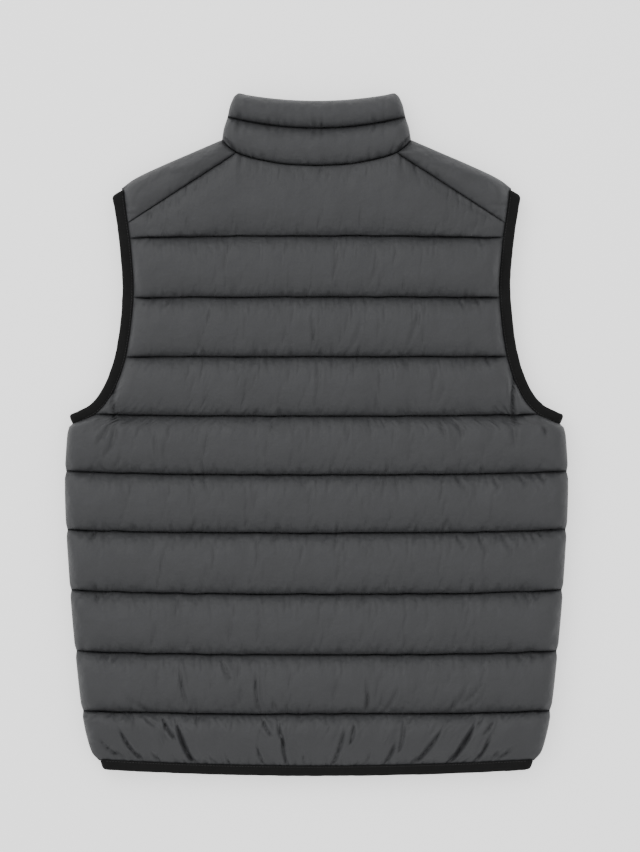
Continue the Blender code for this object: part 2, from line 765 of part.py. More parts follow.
def build_pull(axis, finish):
    """The pull tab, its pin on the joint's axis and its tab lying down the chain."""
    half = PULL_THICKNESS / 2
    mesh_data = bmesh.new()

    def corner(x, along):
        return mesh_data.verts.new(Vector((x, along, -half)) * MM)

    outer = [corner(-PULL_HALF_WIDTH, -PULL_EYE_LENGTH), corner(PULL_HALF_WIDTH, -PULL_EYE_LENGTH),
             corner(PULL_HALF_WIDTH, PULL_PIN_RADIUS), corner(-PULL_HALF_WIDTH, PULL_PIN_RADIUS)]
    eye_bottom = -PULL_EYE_LENGTH + PULL_EYE_HALF_WIDTH
    inner = [corner(-PULL_EYE_HALF_WIDTH, eye_bottom), corner(PULL_EYE_HALF_WIDTH, eye_bottom),
             corner(PULL_EYE_HALF_WIDTH, -PULL_PIN_RADIUS), corner(-PULL_EYE_HALF_WIDTH, -PULL_PIN_RADIUS)]
    for index in range(4):
        after = (index + 1) % 4
        mesh_data.faces.new((outer[index], outer[after], inner[after], inner[index]))
    tip = [corner(PULL_HALF_WIDTH, 2 - PULL_LENGTH), corner(PULL_HALF_WIDTH - 2, -PULL_LENGTH),
           corner(2 - PULL_HALF_WIDTH, -PULL_LENGTH), corner(-PULL_HALF_WIDTH, 2 - PULL_LENGTH)]
    mesh_data.faces.new([outer[1], outer[0]] + tip[::-1])
    carried = bmesh.ops.extrude_face_region(mesh_data, geom=mesh_data.faces[:])
    moved = [part for part in carried["geom"] if isinstance(part, bmesh.types.BMVert)]
    bmesh.ops.translate(mesh_data, verts=moved, vec=(0, 0, PULL_THICKNESS * MM))
    pull = make_object("zip_pull", mesh_data, finish, flat=True)
    pull.location = axis


def main():
    clear_scene()
    shell_finish = material("shell_grey", SHELL_GREY, 0.55)
    binding_finish = material("binding_black", BINDING_BLACK, 0.8)
    zip_finish = material("zip_black", ZIP_BLACK, 0.45)
    back_edge, back_places = build_back(shell_finish)
    front_places = []
    neck_steps = []
    for name, side in (("left", -1), ("right", 1)):
        front_edge, yoke_edge, places, steps = build_front(f"front_{name}", side, shell_finish)
        front_places.append(places)
        neck_steps.append(steps)
        build_armhole_binding(f"armhole_binding_{name}", side, back_edge + yoke_edge[::-1], front_edge,
                              binding_finish)
    build_hem_binding(back_places, front_places, binding_finish)
    build_collar(neck_steps, shell_finish)
    build_zip(zip_finish)
    build_pull(build_slider(zip_finish), zip_finish)


main()
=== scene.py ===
"""A quilted vest that lies flat on its front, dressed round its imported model.

Sizes are in millimetres. A height is measured along the vest from the bottom of its hem, and a level is
measured up from the surface that the vest lies on. The size tables follow the part's source.
"""

from functools import reduce
from math import pi, radians

import bpy
import numpy as np
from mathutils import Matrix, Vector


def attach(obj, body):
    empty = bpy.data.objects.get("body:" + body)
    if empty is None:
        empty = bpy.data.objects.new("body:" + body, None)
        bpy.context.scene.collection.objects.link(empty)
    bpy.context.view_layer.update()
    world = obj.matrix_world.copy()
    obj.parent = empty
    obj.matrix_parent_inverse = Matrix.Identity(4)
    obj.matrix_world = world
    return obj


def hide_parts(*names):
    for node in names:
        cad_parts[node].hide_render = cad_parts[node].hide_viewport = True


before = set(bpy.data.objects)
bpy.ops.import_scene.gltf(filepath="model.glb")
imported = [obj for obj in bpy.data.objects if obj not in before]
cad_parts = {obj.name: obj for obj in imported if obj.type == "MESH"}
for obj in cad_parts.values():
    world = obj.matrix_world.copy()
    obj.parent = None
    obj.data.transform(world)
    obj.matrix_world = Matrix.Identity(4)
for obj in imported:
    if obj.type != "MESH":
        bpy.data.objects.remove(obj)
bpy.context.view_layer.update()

MM = 0.001

# Whole vest
LENGTH = 758.7
INSIDE_LEVEL = 16.0
GAP = 0.3
SEAM_GAP = 0.1
SEAM_WALL = 2.2
BACK_PUFF = 18.5
YOKE_PUFF = 16.0
FRONT_PUFF = 20.0
COLLAR_PUFF = 15.0
FULL_CHANNEL = 66.0
FOLD_INSET = 3.0
FOLD_REACH = 12.0
BACK_INSIDE = INSIDE_LEVEL + GAP / 2
FRONT_INSIDE = INSIDE_LEVEL - GAP / 2

# Edge of the panels: height, half width
PANEL_EDGE = (
    (17.0, 241.0),
    (26.0, 249.5),
    (40.0, 254.3),
    (66.0, 259.7),
    (133.0, 267.5),
    (212.0, 274.2),
    (325.0, 279.7),
    (375.0, 277.3),
    (388.0, 274.5),
    (396.0, 259.5),
    (404.0, 245.7),
    (419.5, 231.8),
    (449.0, 218.1),
    (477.0, 211.1),
    (518.0, 206.0),
    (546.0, 204.8),
    (586.0, 207.6),
    (613.0, 211.0),
    (640.0, 215.0),
    (655.5, 216.5),
)
ARMHOLE_START = 388.0
SIDE_ROUNDING = 17.0
CENTRE_ROUNDING = 13.0
LINE_NOTCH = 1.6
NOTCH_REACH = 7.0

# Quilt lines: height at the centre, rise at the panel's edge
QUILT_LINES = (
    (69.6, 3.6),
    (135.2, 4.0),
    (202.5, 4.0),
    (270.2, 3.6),
    (335.0, 3.4),
    (400.2, 2.6),
    (466.1, 0.0),
    (532.4, -1.8),
    (600.0, -4.2),
)
RISE_WIDTH = 260.0
HEM_TOP = 10.3
HEM_RISE = 7.0
HEM_WIDTH = 238.0

# Gathers over the hem: place at the hem, place at the first quilt line, share of the puff taken by
# the trough at the hem and at the line
GATHERS = (
    (-219.0, -243.0, 0.45, 0.10),
    (-195.0, -226.0, 0.42, 0.12),
    (-172.0, -203.0, 0.12, 0.32),
    (-152.0, -179.0, 0.14, 0.38),
    (-133.0, -157.0, 0.55, 0.25),
    (-97.0, -118.0, 0.20, 0.10),
    (-70.0, -86.0, 0.10, 0.14),
    (-50.0, -63.0, 0.35, 0.10),
    (-35.0, -45.0, 0.14, 0.30),
    (-22.0, -22.0, 0.38, 0.12),
    (-2.0, 2.0, 0.08, 0.10),
    (16.0, 30.0, 0.40, 0.16),
    (33.0, 47.0, 0.10, 0.30),
    (53.0, 72.0, 0.12, 0.12),
    (75.0, 100.0, 0.38, 0.30),
    (106.0, 142.0, 0.46, 0.14),
    (146.0, 181.0, 0.55, 0.25),
    (173.0, 205.0, 0.34, 0.34),
    (203.0, 236.0, 0.40, 0.10),
)
GATHER_WIDTH = 8.0
GATHER_DEPTH = 0.55

# Seams at the top of the back: width, height
NECK_SEAM = (
    (0.0, 677.7),
    (30.0, 679.0),
    (61.0, 683.8),
    (85.0, 690.5),
    (97.0, 698.0),
    (105.5, 707.0),
)
SHOULDER_NECK_WIDTH = 89.0
SHOULDER_SEAM_ARM = (209.0, 615.0)

# Top of the shoulder, where the fronts fold over to the back: width, height
SHOULDER_FOLD = (
    (105.5, 706.6),
    (139.0, 692.3),
    (170.0, 679.0),
    (204.0, 662.5),
    (216.5, 653.0),
)

# Centre front and front neck
FRONT_EDGE = 9.0
FRONT_NECK_HEIGHT = 628.0

# Collar: side outline as height and half width, then its three lines
COLLAR_SIDE = (
    (707.0, 105.0),
    (718.7, 103.2),
    (732.4, 98.9),
    (745.0, 96.0),
    (758.7, 89.9),
)
COLLAR_SIDE_LINE = 732.4
COLLAR_BACK_LINE = 720.0
COLLAR_BACK_TOP = 750.4
COLLAR_SIDE_TOP = 758.7
COLLAR_FRONT_LINE = 666.0
COLLAR_FRONT_TOP = 703.0
COLLAR_ROUNDING = 14.0
COLLAR_CORNER = 3.0
COLLAR_CORNER_START = 754.0

# Puckers of the collar's three lines, from the seam up, as the values of their tables
COLLAR_PUCKERS = (
    (170, -110, 110, 6, 13, 0.4),
    (171, -110, 110, 5, 11, 0.5),
    (172, -110, 110, 7, 15, 0.3),
)

# Bindings
BINDING_WIDTH = 10.4
HEM_BINDING_WIDTH = 9.8
BINDING_THICKNESS = 5.0
UNDERARM_END = 393.2
SHOULDER_END = 646.8
HEM_BINDING_END = 235.5

# Long creases: start x and height, end x and height, depth, half width
CREASES = (
    (-218, 20, -244, 45, 2.9, 1.6),
    (-194, 18, -219, 52, 3.6, 1.6),
    (-174, 16, -184, 28, 1.9, 1.4),
    (-136, 15, -155, 58, 5.2, 1.7),
    (-157, 42, -173, 67, 3.6, 1.6),
    (-178, 56, -193, 67, 1.9, 1.4),
    (-113, 14, -119, 25, 1.7, 1.3),
    (-96, 13, -101, 26, 1.5, 1.3),
    (-58, 12, -66, 35, 2.7, 1.7),
    (-50, 45, -61, 67, 2.7, 1.5),
    (-36, 36, -43, 62, 2.7, 1.5),
    (-33, 13, -37, 45, 2.9, 1.6),
    (-13, 12, -15, 27, 1.9, 1.5),
    (17, 12, 31, 54, 2.9, 1.7),
    (37, 37, 42, 60, 2.3, 1.5),
    (53, 12, 59, 27, 1.9, 1.4),
    (74, 12, 88, 38, 2.7, 1.6),
    (92, 29, 97, 61, 2.5, 1.6),
    (107, 13, 140, 54, 3.8, 1.8),
    (147, 15, 175, 58, 5.2, 1.8),
    (186, 46, 197, 61, 2.5, 1.5),
    (177, 16, 193, 45, 3.2, 1.6),
    (203, 18, 222, 37, 2.9, 1.6),
    (-145, 82, -151, 120, 2.6, 1.7),
    (-96, 108, -105, 130, 3.1, 1.7),
    (-190, 74, -215, 93, 2.1, 2.2),
    (-63, 73, -67, 110, 3.1, 1.6),
    (-59, 75, -62, 108, 2.1, 1.5),
    (-45, 74, -50, 88, 1.7, 1.7),
    (55, 74, 55, 105, 2.4, 1.7),
    (77, 74, 91, 101, 2.6, 1.9),
    (150, 75, 167, 101, 3.1, 1.9),
    (160, 81, 187, 107, 3.1, 2.0),
    (156, 333, 171, 314, 2.9, 1.8),
    (197, 331, 205, 318, 2.9, 1.8),
    (226, 333, 235, 324, 2.6, 1.7),
    (246, 336, 255, 326, 2.4, 1.7),
    (156, 268, 169, 250, 2.9, 1.8),
    (181, 265, 191, 250, 2.9, 1.7),
    (206, 269, 220, 248, 3.1, 1.9),
    (239, 268, 250, 260, 2.4, 1.7),
    (136, 399, 145, 374, 2.6, 1.8),
    (154, 393, 164, 379, 2.4, 1.7),
    (247, 398, 258, 374, 3.1, 1.9),
    (-229, 390, -245, 369, 3.1, 1.9),
    (-227, 368, -237, 355, 2.9, 1.8),
    (-217, 356, -224, 343, 2.4, 1.8),
    (-179, 376, -176, 350, 1.4, 1.6),
    (3, 457, -2, 411, 1.4, 1.9),
    (143, 434, 128, 407, 1.7, 1.9),
    (49, 502, 35, 470, 1.6, 1.9),
    (113, 515, 97, 470, 1.7, 2.0),
    (-5, 508, -6, 470, 1.4, 1.8),
    (69, 568, 55, 543, 1.4, 1.8),
)

# Small folds at both ends of the collar's seam, as the creases
COLLAR_CREASES = (
    (-92, 696, -102, 711, 3.4, 1.5),
    (92, 696, 102, 711, 3.4, 1.5),
)

# Stitched darts under the armholes: start x and height, end x and height, depth, half width
DARTS = (
    (-224, 432, -224, 396, 7.0, 2.2),
    (-224, 400, -226, 366, 2.6, 3.0),
    (219, 441, 219, 399, 7.0, 2.2),
    (219, 403, 221, 367, 2.6, 3.0),
)

# Seams and creases
SEAM_FLOOR = 0.45
LINE_LIFT = 0.1
LOW_LIFT = 0.27
GROOVE_HALF = 0.45
STITCH_RISE = 0.7
SHOULDER_LIFT = 7.0
SHOULDER_REACH = 11.0
BINDING_OVERLAP = 1.5
CREASE_BOW = 0.04
MOST_PUCKERED = 0.75

# Swelling of the padded cloth
SIM_SCALE = 10.0
SIM_FRAMES = 14
SIM_EXCESS = 0.03
SIM_LEAN = 0.2
SIM_REACH = 4.0
SIM_SETTINGS = (
    ("quality", 5),
    ("mass", 0.3),
    ("tension_stiffness", 15),
    ("compression_stiffness", 15),
    ("shear_stiffness", 4),
    ("bending_stiffness", 0.5),
    ("use_pressure", True),
    ("uniform_pressure_force", 1.2),
    ("shrink_min", -SIM_EXCESS),
    ("shrink_max", -SIM_EXCESS),
    ("vertex_group_mass", "held"),
)


def mix(low, high, share):
    return low + (high - low) * share


def spots(x, height, level):
    """Points in the scene's metres."""
    x, height, level = np.broadcast_arrays(x, height, level)
    return np.stack([x, height - LENGTH / 2, level], axis=-1) * MM


def smooth(table, at):
    """Reads a table of two columns along a curve that never swings past its rows."""
    places, values = np.array(table).T
    steps = np.diff(places)
    slopes = np.diff(values) / steps
    product = slopes[:-1] * slopes[1:]
    total = np.where(product > 0, slopes[:-1] + slopes[1:], 1)
    middle = np.where(product > 0, 2 * product / total, 0)
    bends = np.concatenate([slopes[:1], middle, slopes[-1:]])
    row = np.clip(np.searchsorted(places, at) - 1, 0, len(steps) - 1)
    share = np.clip((at - places[row]) / steps[row], 0, 1)
    rest = 1 - share
    low = values[row] * rest * rest * (1 + 2 * share)
    high = values[row + 1] * share * share * (1 + 2 * rest)
    return low + high + steps[row] * share * rest * (bends[row] * rest - bends[row + 1] * share)


def half_width(height):
    """Half the panels' width, a little notched where a quilt line reaches the side."""
    notch = 0.0
    for centre, rise in QUILT_LINES:
        if centre < ARMHOLE_START:
            away = np.abs(height - centre - rise)
            notch = notch + LINE_NOTCH * np.maximum(0.0, 1 - away / NOTCH_REACH)
    return smooth(PANEL_EDGE, height) - notch


def quilt_line(centre, rise):
    return lambda x: centre + rise * np.abs(x / RISE_WIDTH) ** 3


LINES = [quilt_line(*row) for row in QUILT_LINES]


def hem_edge(x):
    return HEM_TOP + HEM_RISE * (x / HEM_WIDTH) ** 2


def neck_seam(x):
    return smooth(NECK_SEAM, np.abs(x))


def back_top(x):
    """The back's neck seam, then its shoulder seam."""
    neck_height = neck_seam(SHOULDER_NECK_WIDTH) - SEAM_GAP
    arm_width, arm_height = SHOULDER_SEAM_ARM
    share = (np.abs(x) - SHOULDER_NECK_WIDTH) / (arm_width - SHOULDER_NECK_WIDTH)
    return np.where(share < 0, neck_seam(x) - SEAM_GAP, mix(neck_height, arm_height, share))


def front_top(x):
    """The front's neck seam, then the fold over the shoulder."""
    fold_width, fold_height = SHOULDER_FOLD[0]
    share = np.clip((np.abs(x) - FRONT_EDGE) / (fold_width - FRONT_EDGE), 0, 1)
    neck = fold_height - (fold_height - FRONT_NECK_HEIGHT) * np.sqrt(1 - share * share)
    return np.where(np.abs(x) >= fold_width, smooth(SHOULDER_FOLD, np.abs(x)), neck)


def edge_height(line):
    """The height at which a line across the panel reaches its edge."""
    height = line(0.0)
    for _ in range(5):
        height = line(half_width(height))
    return float(height)


def puff(share):
    """Fullness across a channel, from none at its two seams to one at its middle."""
    return (1 - np.abs(2 * np.clip(share, 0, 1) - 1) ** 2.4) ** 0.6


def sewn_puff(low, high, low_lift=LOW_LIFT):
    """Fullness at given distances from a channel's two seams, with a narrow groove along each."""
    share = (low - SEAM_FLOOR) / np.maximum(low + high - 2 * SEAM_FLOOR, 1e-6)
    full = puff(share)
    lift = mix(low_lift, LINE_LIFT, ease(2 * share))
    lift = lift * np.clip((np.minimum(low, high) - 0.1) / GROOVE_HALF, 0, 1)
    return lift + (1 - lift) * full


def rounding(distance, reach):
    """A quarter round from none at an edge to one at its reach."""
    share = np.clip(distance / reach, 0.0, 1.0)
    return np.sqrt(1 - (1 - share) ** 2)


def fold_inset(distance):
    return FOLD_INSET * np.maximum(0.0, 1 - distance / FOLD_REACH)


def channel_fullness(length):
    return np.minimum(1.0, length / FULL_CHANNEL) ** 0.6


def up_share(low, high):
    """Share of the way up a channel at given distances from its two seams."""
    return low / np.maximum(low + high, 1e-6)


def body_lines(top):
    return [hem_edge, *LINES, top]


def ease(share):
    share = np.clip(share, 0, 1)
    return share * share * (3 - 2 * share)


def wave(at, spacing, seed):
    """A soft random wave between -1 and 1, with a new value at each step of its spacing."""
    values = np.random.default_rng(seed).uniform(-1, 1, 900)
    place = np.asarray(at) / spacing + 450
    step = np.floor(place).astype(int)
    return mix(values[step], values[step + 1], ease(place - step))


def lumps(x, y, spacing, seed):
    """Soft random lumps between -1 and 1 over a surface."""
    values = np.random.default_rng(seed).uniform(-1, 1, (160, 160))
    across = x / spacing + 60
    along = y / spacing + 20
    column = np.floor(across).astype(int)
    row = np.floor(along).astype(int)
    share = ease(across - column)
    low = mix(values[row, column], values[row, column + 1], share)
    high = mix(values[row + 1, column], values[row + 1, column + 1], share)
    return mix(low, high, ease(along - row))


def drape(x, height, seed):
    """Soft upright folds between the seams, a few millimetres to a few centimetres apart."""
    lean = 0.12 * x / 250 * height
    broad = lumps(x * 2.6 + lean, height, 50, seed)
    fine = lumps(x * 3.4 + lean, height, 34, seed + 1)
    return 0.75 * broad + 0.45 * fine * np.abs(broad)


def crease_depth(x, height, creases):
    """Depth taken by long creases: sharp in the middle, with a low soft lip on both sides."""
    depth = np.zeros_like(x)
    for start_x, start_height, end_x, end_height, deep, wide in creases:
        reach = 7 * wide
        near = (x > min(start_x, end_x) - reach) & (x < max(start_x, end_x) + reach)
        near &= (height > min(start_height, end_height) - reach)
        near &= (height < max(start_height, end_height) + reach)
        if not near.any():
            continue
        run = np.array([end_x - start_x, end_height - start_height])
        length = np.hypot(*run)
        across_x, along_x = x[near] - start_x, height[near] - start_height
        along = (across_x * run[0] + along_x * run[1]) / length ** 2
        across = (along_x * run[0] - across_x * run[1]) / length
        across += CREASE_BOW * length * 4 * along * (1 - along) * np.sign(run[0] + 0.01)
        ends = ease(np.minimum((along + 0.16) / 0.24, (1.16 - along) / 0.6))
        away = np.abs(across) / (wide * (0.4 + 0.6 * ends))
        lips = ease(np.minimum(along + 0.3, 1.3 - along) / 0.6)
        lip = 0.34 * np.exp(-((away - 2.7) / 1.5) ** 2)
        depth[near] += deep * (ends * np.exp(-away ** 1.5) - lips * lip)
    return depth


def pucker_table(seed, low, high, closest, farthest, deepest):
    """Random short puckers along a seam: place, lean, reach, half width, share of the puff taken."""
    draw = np.random.default_rng(seed)
    rows = []
    place = low
    while place < high:
        rows.append((place, draw.normal(0, 0.28), draw.uniform(3.5, 11), draw.uniform(1.1, 2.4),
                     draw.uniform(0.15, 1.0) ** 1.5 * deepest))
        place += draw.uniform(closest, farthest)
    return rows


def left_by_puckers(along, distance, *table):
    """Share of the puff that a seam's puckers leave, from the values of their table."""
    return 1 - puckers(along, distance, pucker_table(*table))


def puckers(along, distance, table, side=1):
    """Share of the puff taken by the puckers of a seam at a distance from it."""
    taken = np.zeros_like(along)
    for place, lean, reach, wide, share in table:
        near = (np.abs(along - place) < 3 * wide + 12) & (distance < 3 * reach)
        if not near.any():
            continue
        shift = along[near] - place - side * lean * distance[near]
        spread = wide * (1 + distance[near] / (1.5 * reach))
        taken[near] += share * np.exp(-(shift / spread) ** 2 - (distance[near] / reach) ** 1.6)
    return np.clip(taken, 0, MOST_PUCKERED)


def add_thing(name, data):
    thing = bpy.data.objects.new(name, data)
    bpy.context.scene.collection.objects.link(thing)
    return thing


def grid_quads(rows, columns):
    """The faces of a whole grid, row by row."""
    first = (np.arange(rows - 1)[:, None] * columns + np.arange(columns - 1)).ravel()
    return np.stack([first, first + 1, first + columns + 1, first + columns], axis=1)


def billow(points, held, seed):
    """Lets a grid of cloth swell and buckle between the places where it is held, and gives the moves.

    The cloth is a little longer than the seams that hold it, as gathered cloth is.
    """
    rows, columns = held.shape
    uneven = np.random.default_rng(seed).normal(0, 0.06, (rows, columns)) * MM * ~held
    start = points.copy()
    start[..., 2] += uneven
    mesh = bpy.data.meshes.new("billow")
    start = start.reshape(-1, 3) * SIM_SCALE
    mesh.from_pydata(start.tolist(), [], grid_quads(rows, columns).tolist())
    cloth_thing = add_thing("billow", mesh)
    scene = bpy.context.scene
    group = cloth_thing.vertex_groups.new(name="held")
    group.add(np.flatnonzero(held.ravel()).tolist(), 1.0, "REPLACE")
    cloth = cloth_thing.modifiers.new("cloth", "CLOTH")
    for setting, value in SIM_SETTINGS:
        setattr(cloth.settings, setting, value)
    cloth.settings.effector_weights.gravity = 0
    cloth.point_cache.frame_start = 1
    cloth.point_cache.frame_end = SIM_FRAMES + 1
    for frame_number in range(1, SIM_FRAMES + 1):
        scene.frame_set(frame_number)
    shaped = cloth_thing.evaluated_get(bpy.context.evaluated_depsgraph_get())
    flat = np.empty(rows * columns * 3)
    shaped.data.vertices.foreach_get("co", flat)
    moves = flat.reshape(rows, columns, 3) / SIM_SCALE - points
    bpy.data.objects.remove(cloth_thing)
    scene.frame_set(1)
    reach = np.linalg.norm(moves, axis=-1, keepdims=True)
    moves *= np.minimum(1, SIM_REACH * MM / np.maximum(reach, 1e-9))
    return moves / MM


def curve_weights(at, places):
    """Rows and weights that read evenly numbered values along a smooth curve through them."""
    at = np.asarray(at)
    step = np.clip(np.searchsorted(places, at) - 1, 0, len(places) - 2)
    share = np.clip((at - places[step]) / (places[step + 1] - places[step]), 0, 1)
    square, cube = share ** 2, share ** 3
    weights = np.stack([-0.5 * share + square - 0.5 * cube, 1 - 2.5 * square + 1.5 * cube,
                        0.5 * share + 2 * square - 1.5 * cube, 0.5 * cube - 0.5 * square])
    picks = np.clip(np.stack([step - 1, step, step + 1, step + 2]), 0, len(places) - 1)
    return picks, weights


def finer(values, row_places, column_places, rows_at, columns_at):
    """Reads a coarse grid of moves at finer rows and, for each of them, its own columns."""
    picks, weights = curve_weights(rows_at, row_places)
    tall = sum(values[pick] * weight[:, None, None] for pick, weight in zip(picks, weights))
    picks, weights = curve_weights(columns_at, column_places)
    rows = np.arange(len(rows_at))[:, None]
    return sum(tall[rows, pick] * weight[..., None] for pick, weight in zip(picks, weights))


def wrinkles(x, height, level, held, seed):
    """The swelling of one small grid of cloth, worked out at every other row and column."""
    rows, columns = [np.unique(np.r_[0:size:2, size - 1]) for size in x.shape]
    picked = np.ix_(rows, columns)
    moves = billow(spots(x, height, level)[picked], held[picked], seed)
    moves[..., 1:] -= moves[..., 1:].mean(axis=1, keepdims=True)
    every = np.broadcast_to(np.arange(x.shape[1]), x.shape)
    return finer(moves, rows, columns, np.arange(x.shape[0]), every)


def row_shares(count):
    """Rows across a channel, closer together at its two seams."""
    even = np.linspace(0, 1, count + 1)
    return mix(even, (1 - np.cos(pi * even)) / 2, 0.8)


def signed_volume(points, faces):
    """Six times the volume inside some faces, which is negative where they face in."""
    total = 0.0
    for face in faces:
        corners = points[np.asarray(face)]
        for index in range(1, corners.shape[-2] - 1):
            normal = np.cross(corners[..., index, :], corners[..., index + 1, :])
            total += float(np.sum(normal * corners[..., 0, :]))
    return total


def make_piece(name, points, faces, finish, slot, body="vest", crisp=60):
    """A mesh from its points and lists of faces, facing out, riding on a body."""
    if signed_volume(points, faces) < 0:
        faces = [np.asarray(group)[..., ::-1] for group in faces]
    corners = []
    for group in faces:
        group = np.asarray(group)
        corners.extend(group.tolist() if group.ndim == 2 else [group.tolist()])
    mesh = bpy.data.meshes.new(name)
    mesh.from_pydata(points.tolist(), [], corners)
    mesh.materials.append(finish)
    mesh.shade_smooth()
    mesh.set_sharp_from_angle(angle=radians(crisp))
    piece = add_thing(name, mesh)
    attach(piece, body)
    return piece


def cloth_wall(outer, inner, plain=False):
    """Points and faces of a closed wall between two grids. Plain makes the inside one flat face.

    A point that isn't a number is a place without cloth.
    """
    there = ~np.isnan(outer[..., 0])
    quads = grid_quads(*there.shape)
    quads = quads[there.ravel()[quads].all(axis=1)]
    count = there.size
    sides = np.concatenate([quads[:, [0, 1]], quads[:, [1, 2]], quads[:, [2, 3]], quads[:, [3, 0]]])
    rim = sides[~np.isin(sides[:, 0] * count + sides[:, 1], sides[:, 1] * count + sides[:, 0])]
    walls = np.stack([rim[:, 1], rim[:, 0], rim[:, 0] + count, rim[:, 1] + count], axis=1)
    if plain:
        after = dict(rim.tolist())
        loop = [int(rim[0, 0])]
        while after[loop[-1]] != loop[0]:
            loop.append(after[loop[-1]])
        faces = [quads, walls, np.array(loop[::-1]) + count]
    else:
        faces = [quads, walls, quads[:, ::-1] + count]
    points = np.concatenate([outer.reshape(-1, 3), inner.reshape(-1, 3)])
    used = np.unique(np.concatenate([group.ravel() for group in faces]))
    number = np.full(len(points), -1)
    number[used] = np.arange(len(used))
    return points[used], [number[group] for group in faces]


def make_pad(name, node, outer, inner, plain=False):
    """A padded panel between two grids, in place of its node."""
    piece = make_piece(name, *cloth_wall(outer, inner, plain), NYLON, "shell")
    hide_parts(node)


# Materials
def add_node(tree, kind, place=None, **values):
    """A shader node with some of its inputs set, read at a place."""
    node = tree.nodes.new(f"ShaderNode{kind}")
    for socket, value in values.items():
        node.inputs[socket].default_value = value
    if place is not None:
        tree.links.new(place, node.inputs["Vector"])
    return node


def noise(tree, place, scale, detail=3.0):
    return add_node(tree, "TexNoise", place, Scale=scale, Detail=detail).outputs["Fac"]


def bands(tree, place, direction, pitch):
    """Even ridges across a direction, a pitch in millimetres apart."""
    node = add_node(tree, "TexWave", place, Scale=1 / (pitch * MM) / 20, Distortion=0.0)
    node.bands_direction = direction
    return node.outputs["Fac"]


def combine(tree, operation, first, second):
    node = tree.nodes.new("ShaderNodeMath")
    node.operation = operation
    for socket, value in zip(node.inputs, (first, second)):
        if isinstance(value, float):
            socket.default_value = value
        else:
            tree.links.new(value, socket)
    return node.outputs["Value"]


def add_bump(tree, surface, relief):
    """Relief in millimetres."""
    node = add_node(tree, "Bump", Strength=1.0, Distance=MM)
    tree.links.new(relief, node.inputs["Height"])
    tree.links.new(node.outputs["Normal"], surface.inputs["Normal"])


def shade_between(tree, surface, socket, share, low, high):
    """Leads a share into a socket as a value or a colour between two."""
    if isinstance(low, float):
        ramp = tree.nodes.new("ShaderNodeMapRange")
        names = ("Value", "To Min", "To Max")
    else:
        ramp = tree.nodes.new("ShaderNodeMix")
        ramp.data_type = "RGBA"
        names = ("Factor", "A", "B")
        low, high = (*low, 1), (*high, 1)
    tree.links.new(share, ramp.inputs[names[0]])
    ramp.inputs[names[1]].default_value = low
    ramp.inputs[names[2]].default_value = high
    tree.links.new(ramp.outputs["Result"], surface.inputs[socket])


def make_finish(name, colour, roughness, tones=(), colours=None, gloss=None, weave=None, relief=(),
                specular=None):
    """A finish from its colour and roughness, varied by noises.

    tones are noises that lead from the first of the two colours to the second, and relief is noises
    that raise it, each as scale, detail and share. gloss is a noise's scale and two roughnesses. weave
    is how ribs across and along are joined, their two pitches and their height in millimetres.
    """
    finish = bpy.data.materials.new(name)
    finish.use_nodes = True
    tree = finish.node_tree
    surface = tree.nodes["Principled BSDF"]
    surface.inputs["Base Color"].default_value = (*colour, 1)
    surface.inputs["Roughness"].default_value = roughness
    if specular is not None:
        surface.inputs["Specular IOR Level"].default_value = specular
    place = tree.nodes.new("ShaderNodeTexCoord").outputs["Object"]

    def noises(rows):
        return [combine(tree, "MULTIPLY", noise(tree, place, scale, detail), share)
                for scale, detail, share in rows]

    def total(parts):
        return reduce(lambda first, second: combine(tree, "ADD", first, second), parts)

    if tones:
        shade_between(tree, surface, "Base Color", total(noises(tones)), *colours)
    if gloss:
        shade_between(tree, surface, "Roughness", noise(tree, place, gloss[0]), *gloss[1:])
    ridges = []
    if weave:
        joint, pitch_x, pitch_y, rise = weave
        ribs = combine(tree, joint, bands(tree, place, "X", pitch_x), bands(tree, place, "Y", pitch_y))
        ridges = [combine(tree, "MULTIPLY", ribs, rise)]
    ridges += noises(relief)
    if ridges:
        add_bump(tree, surface, total(ridges))
    return finish


# Fine plain weave with small crinkles
NYLON = make_finish(
    "shell_nylon", (0.045, 0.046, 0.048), 0.55, tones=((26.0, 3.0, 0.6), (420.0, 3.0, 0.4)),
    colours=((0.038, 0.039, 0.041), (0.052, 0.053, 0.056)), gloss=(90.0, 0.5, 0.62),
    weave=("MULTIPLY", 0.55, 0.55, 0.035), relief=((230.0, 4.0, 0.55), (75.0, 2.0, 1.3)), specular=0.32)
# Knitted binding with fine ribs
ELASTIC = make_finish(
    "binding_knit", (0.006, 0.006, 0.006), 0.8, tones=((300.0, 3.0, 1.0),),
    colours=((0.004, 0.004, 0.004), (0.008, 0.008, 0.008)), weave=("ADD", 0.9, 0.9, 0.07),
    relief=((520.0, 3.0, 0.16),), specular=0.18)
SEAM_THREAD = make_finish(
    "seam_thread", (0.05, 0.05, 0.053), 0.6, tones=((900.0, 3.0, 1.0),),
    colours=((0.04, 0.04, 0.0424), (0.0625, 0.0625, 0.06625)))
BINDING_THREAD = make_finish(
    "binding_thread", (0.02, 0.02, 0.021), 0.6, tones=((900.0, 3.0, 1.0),),
    colours=((0.016, 0.016, 0.0168), (0.025, 0.025, 0.02625)))
# Woven zip tape, ribbed across its length
TAPE = make_finish(
    "zip_tape", (0.013, 0.013, 0.014), 0.8, tones=((600.0, 3.0, 1.0),),
    colours=((0.010, 0.010, 0.011), (0.018, 0.018, 0.019)), weave=("ADD", 0.9, 0.7, 0.08))
# Moulded plastic of the zip's teeth and box
MOULDED = make_finish(
    "zip_plastic", (0.014, 0.014, 0.015), 0.4, gloss=(350.0, 0.32, 0.5), relief=((800.0, 3.0, 0.02),))
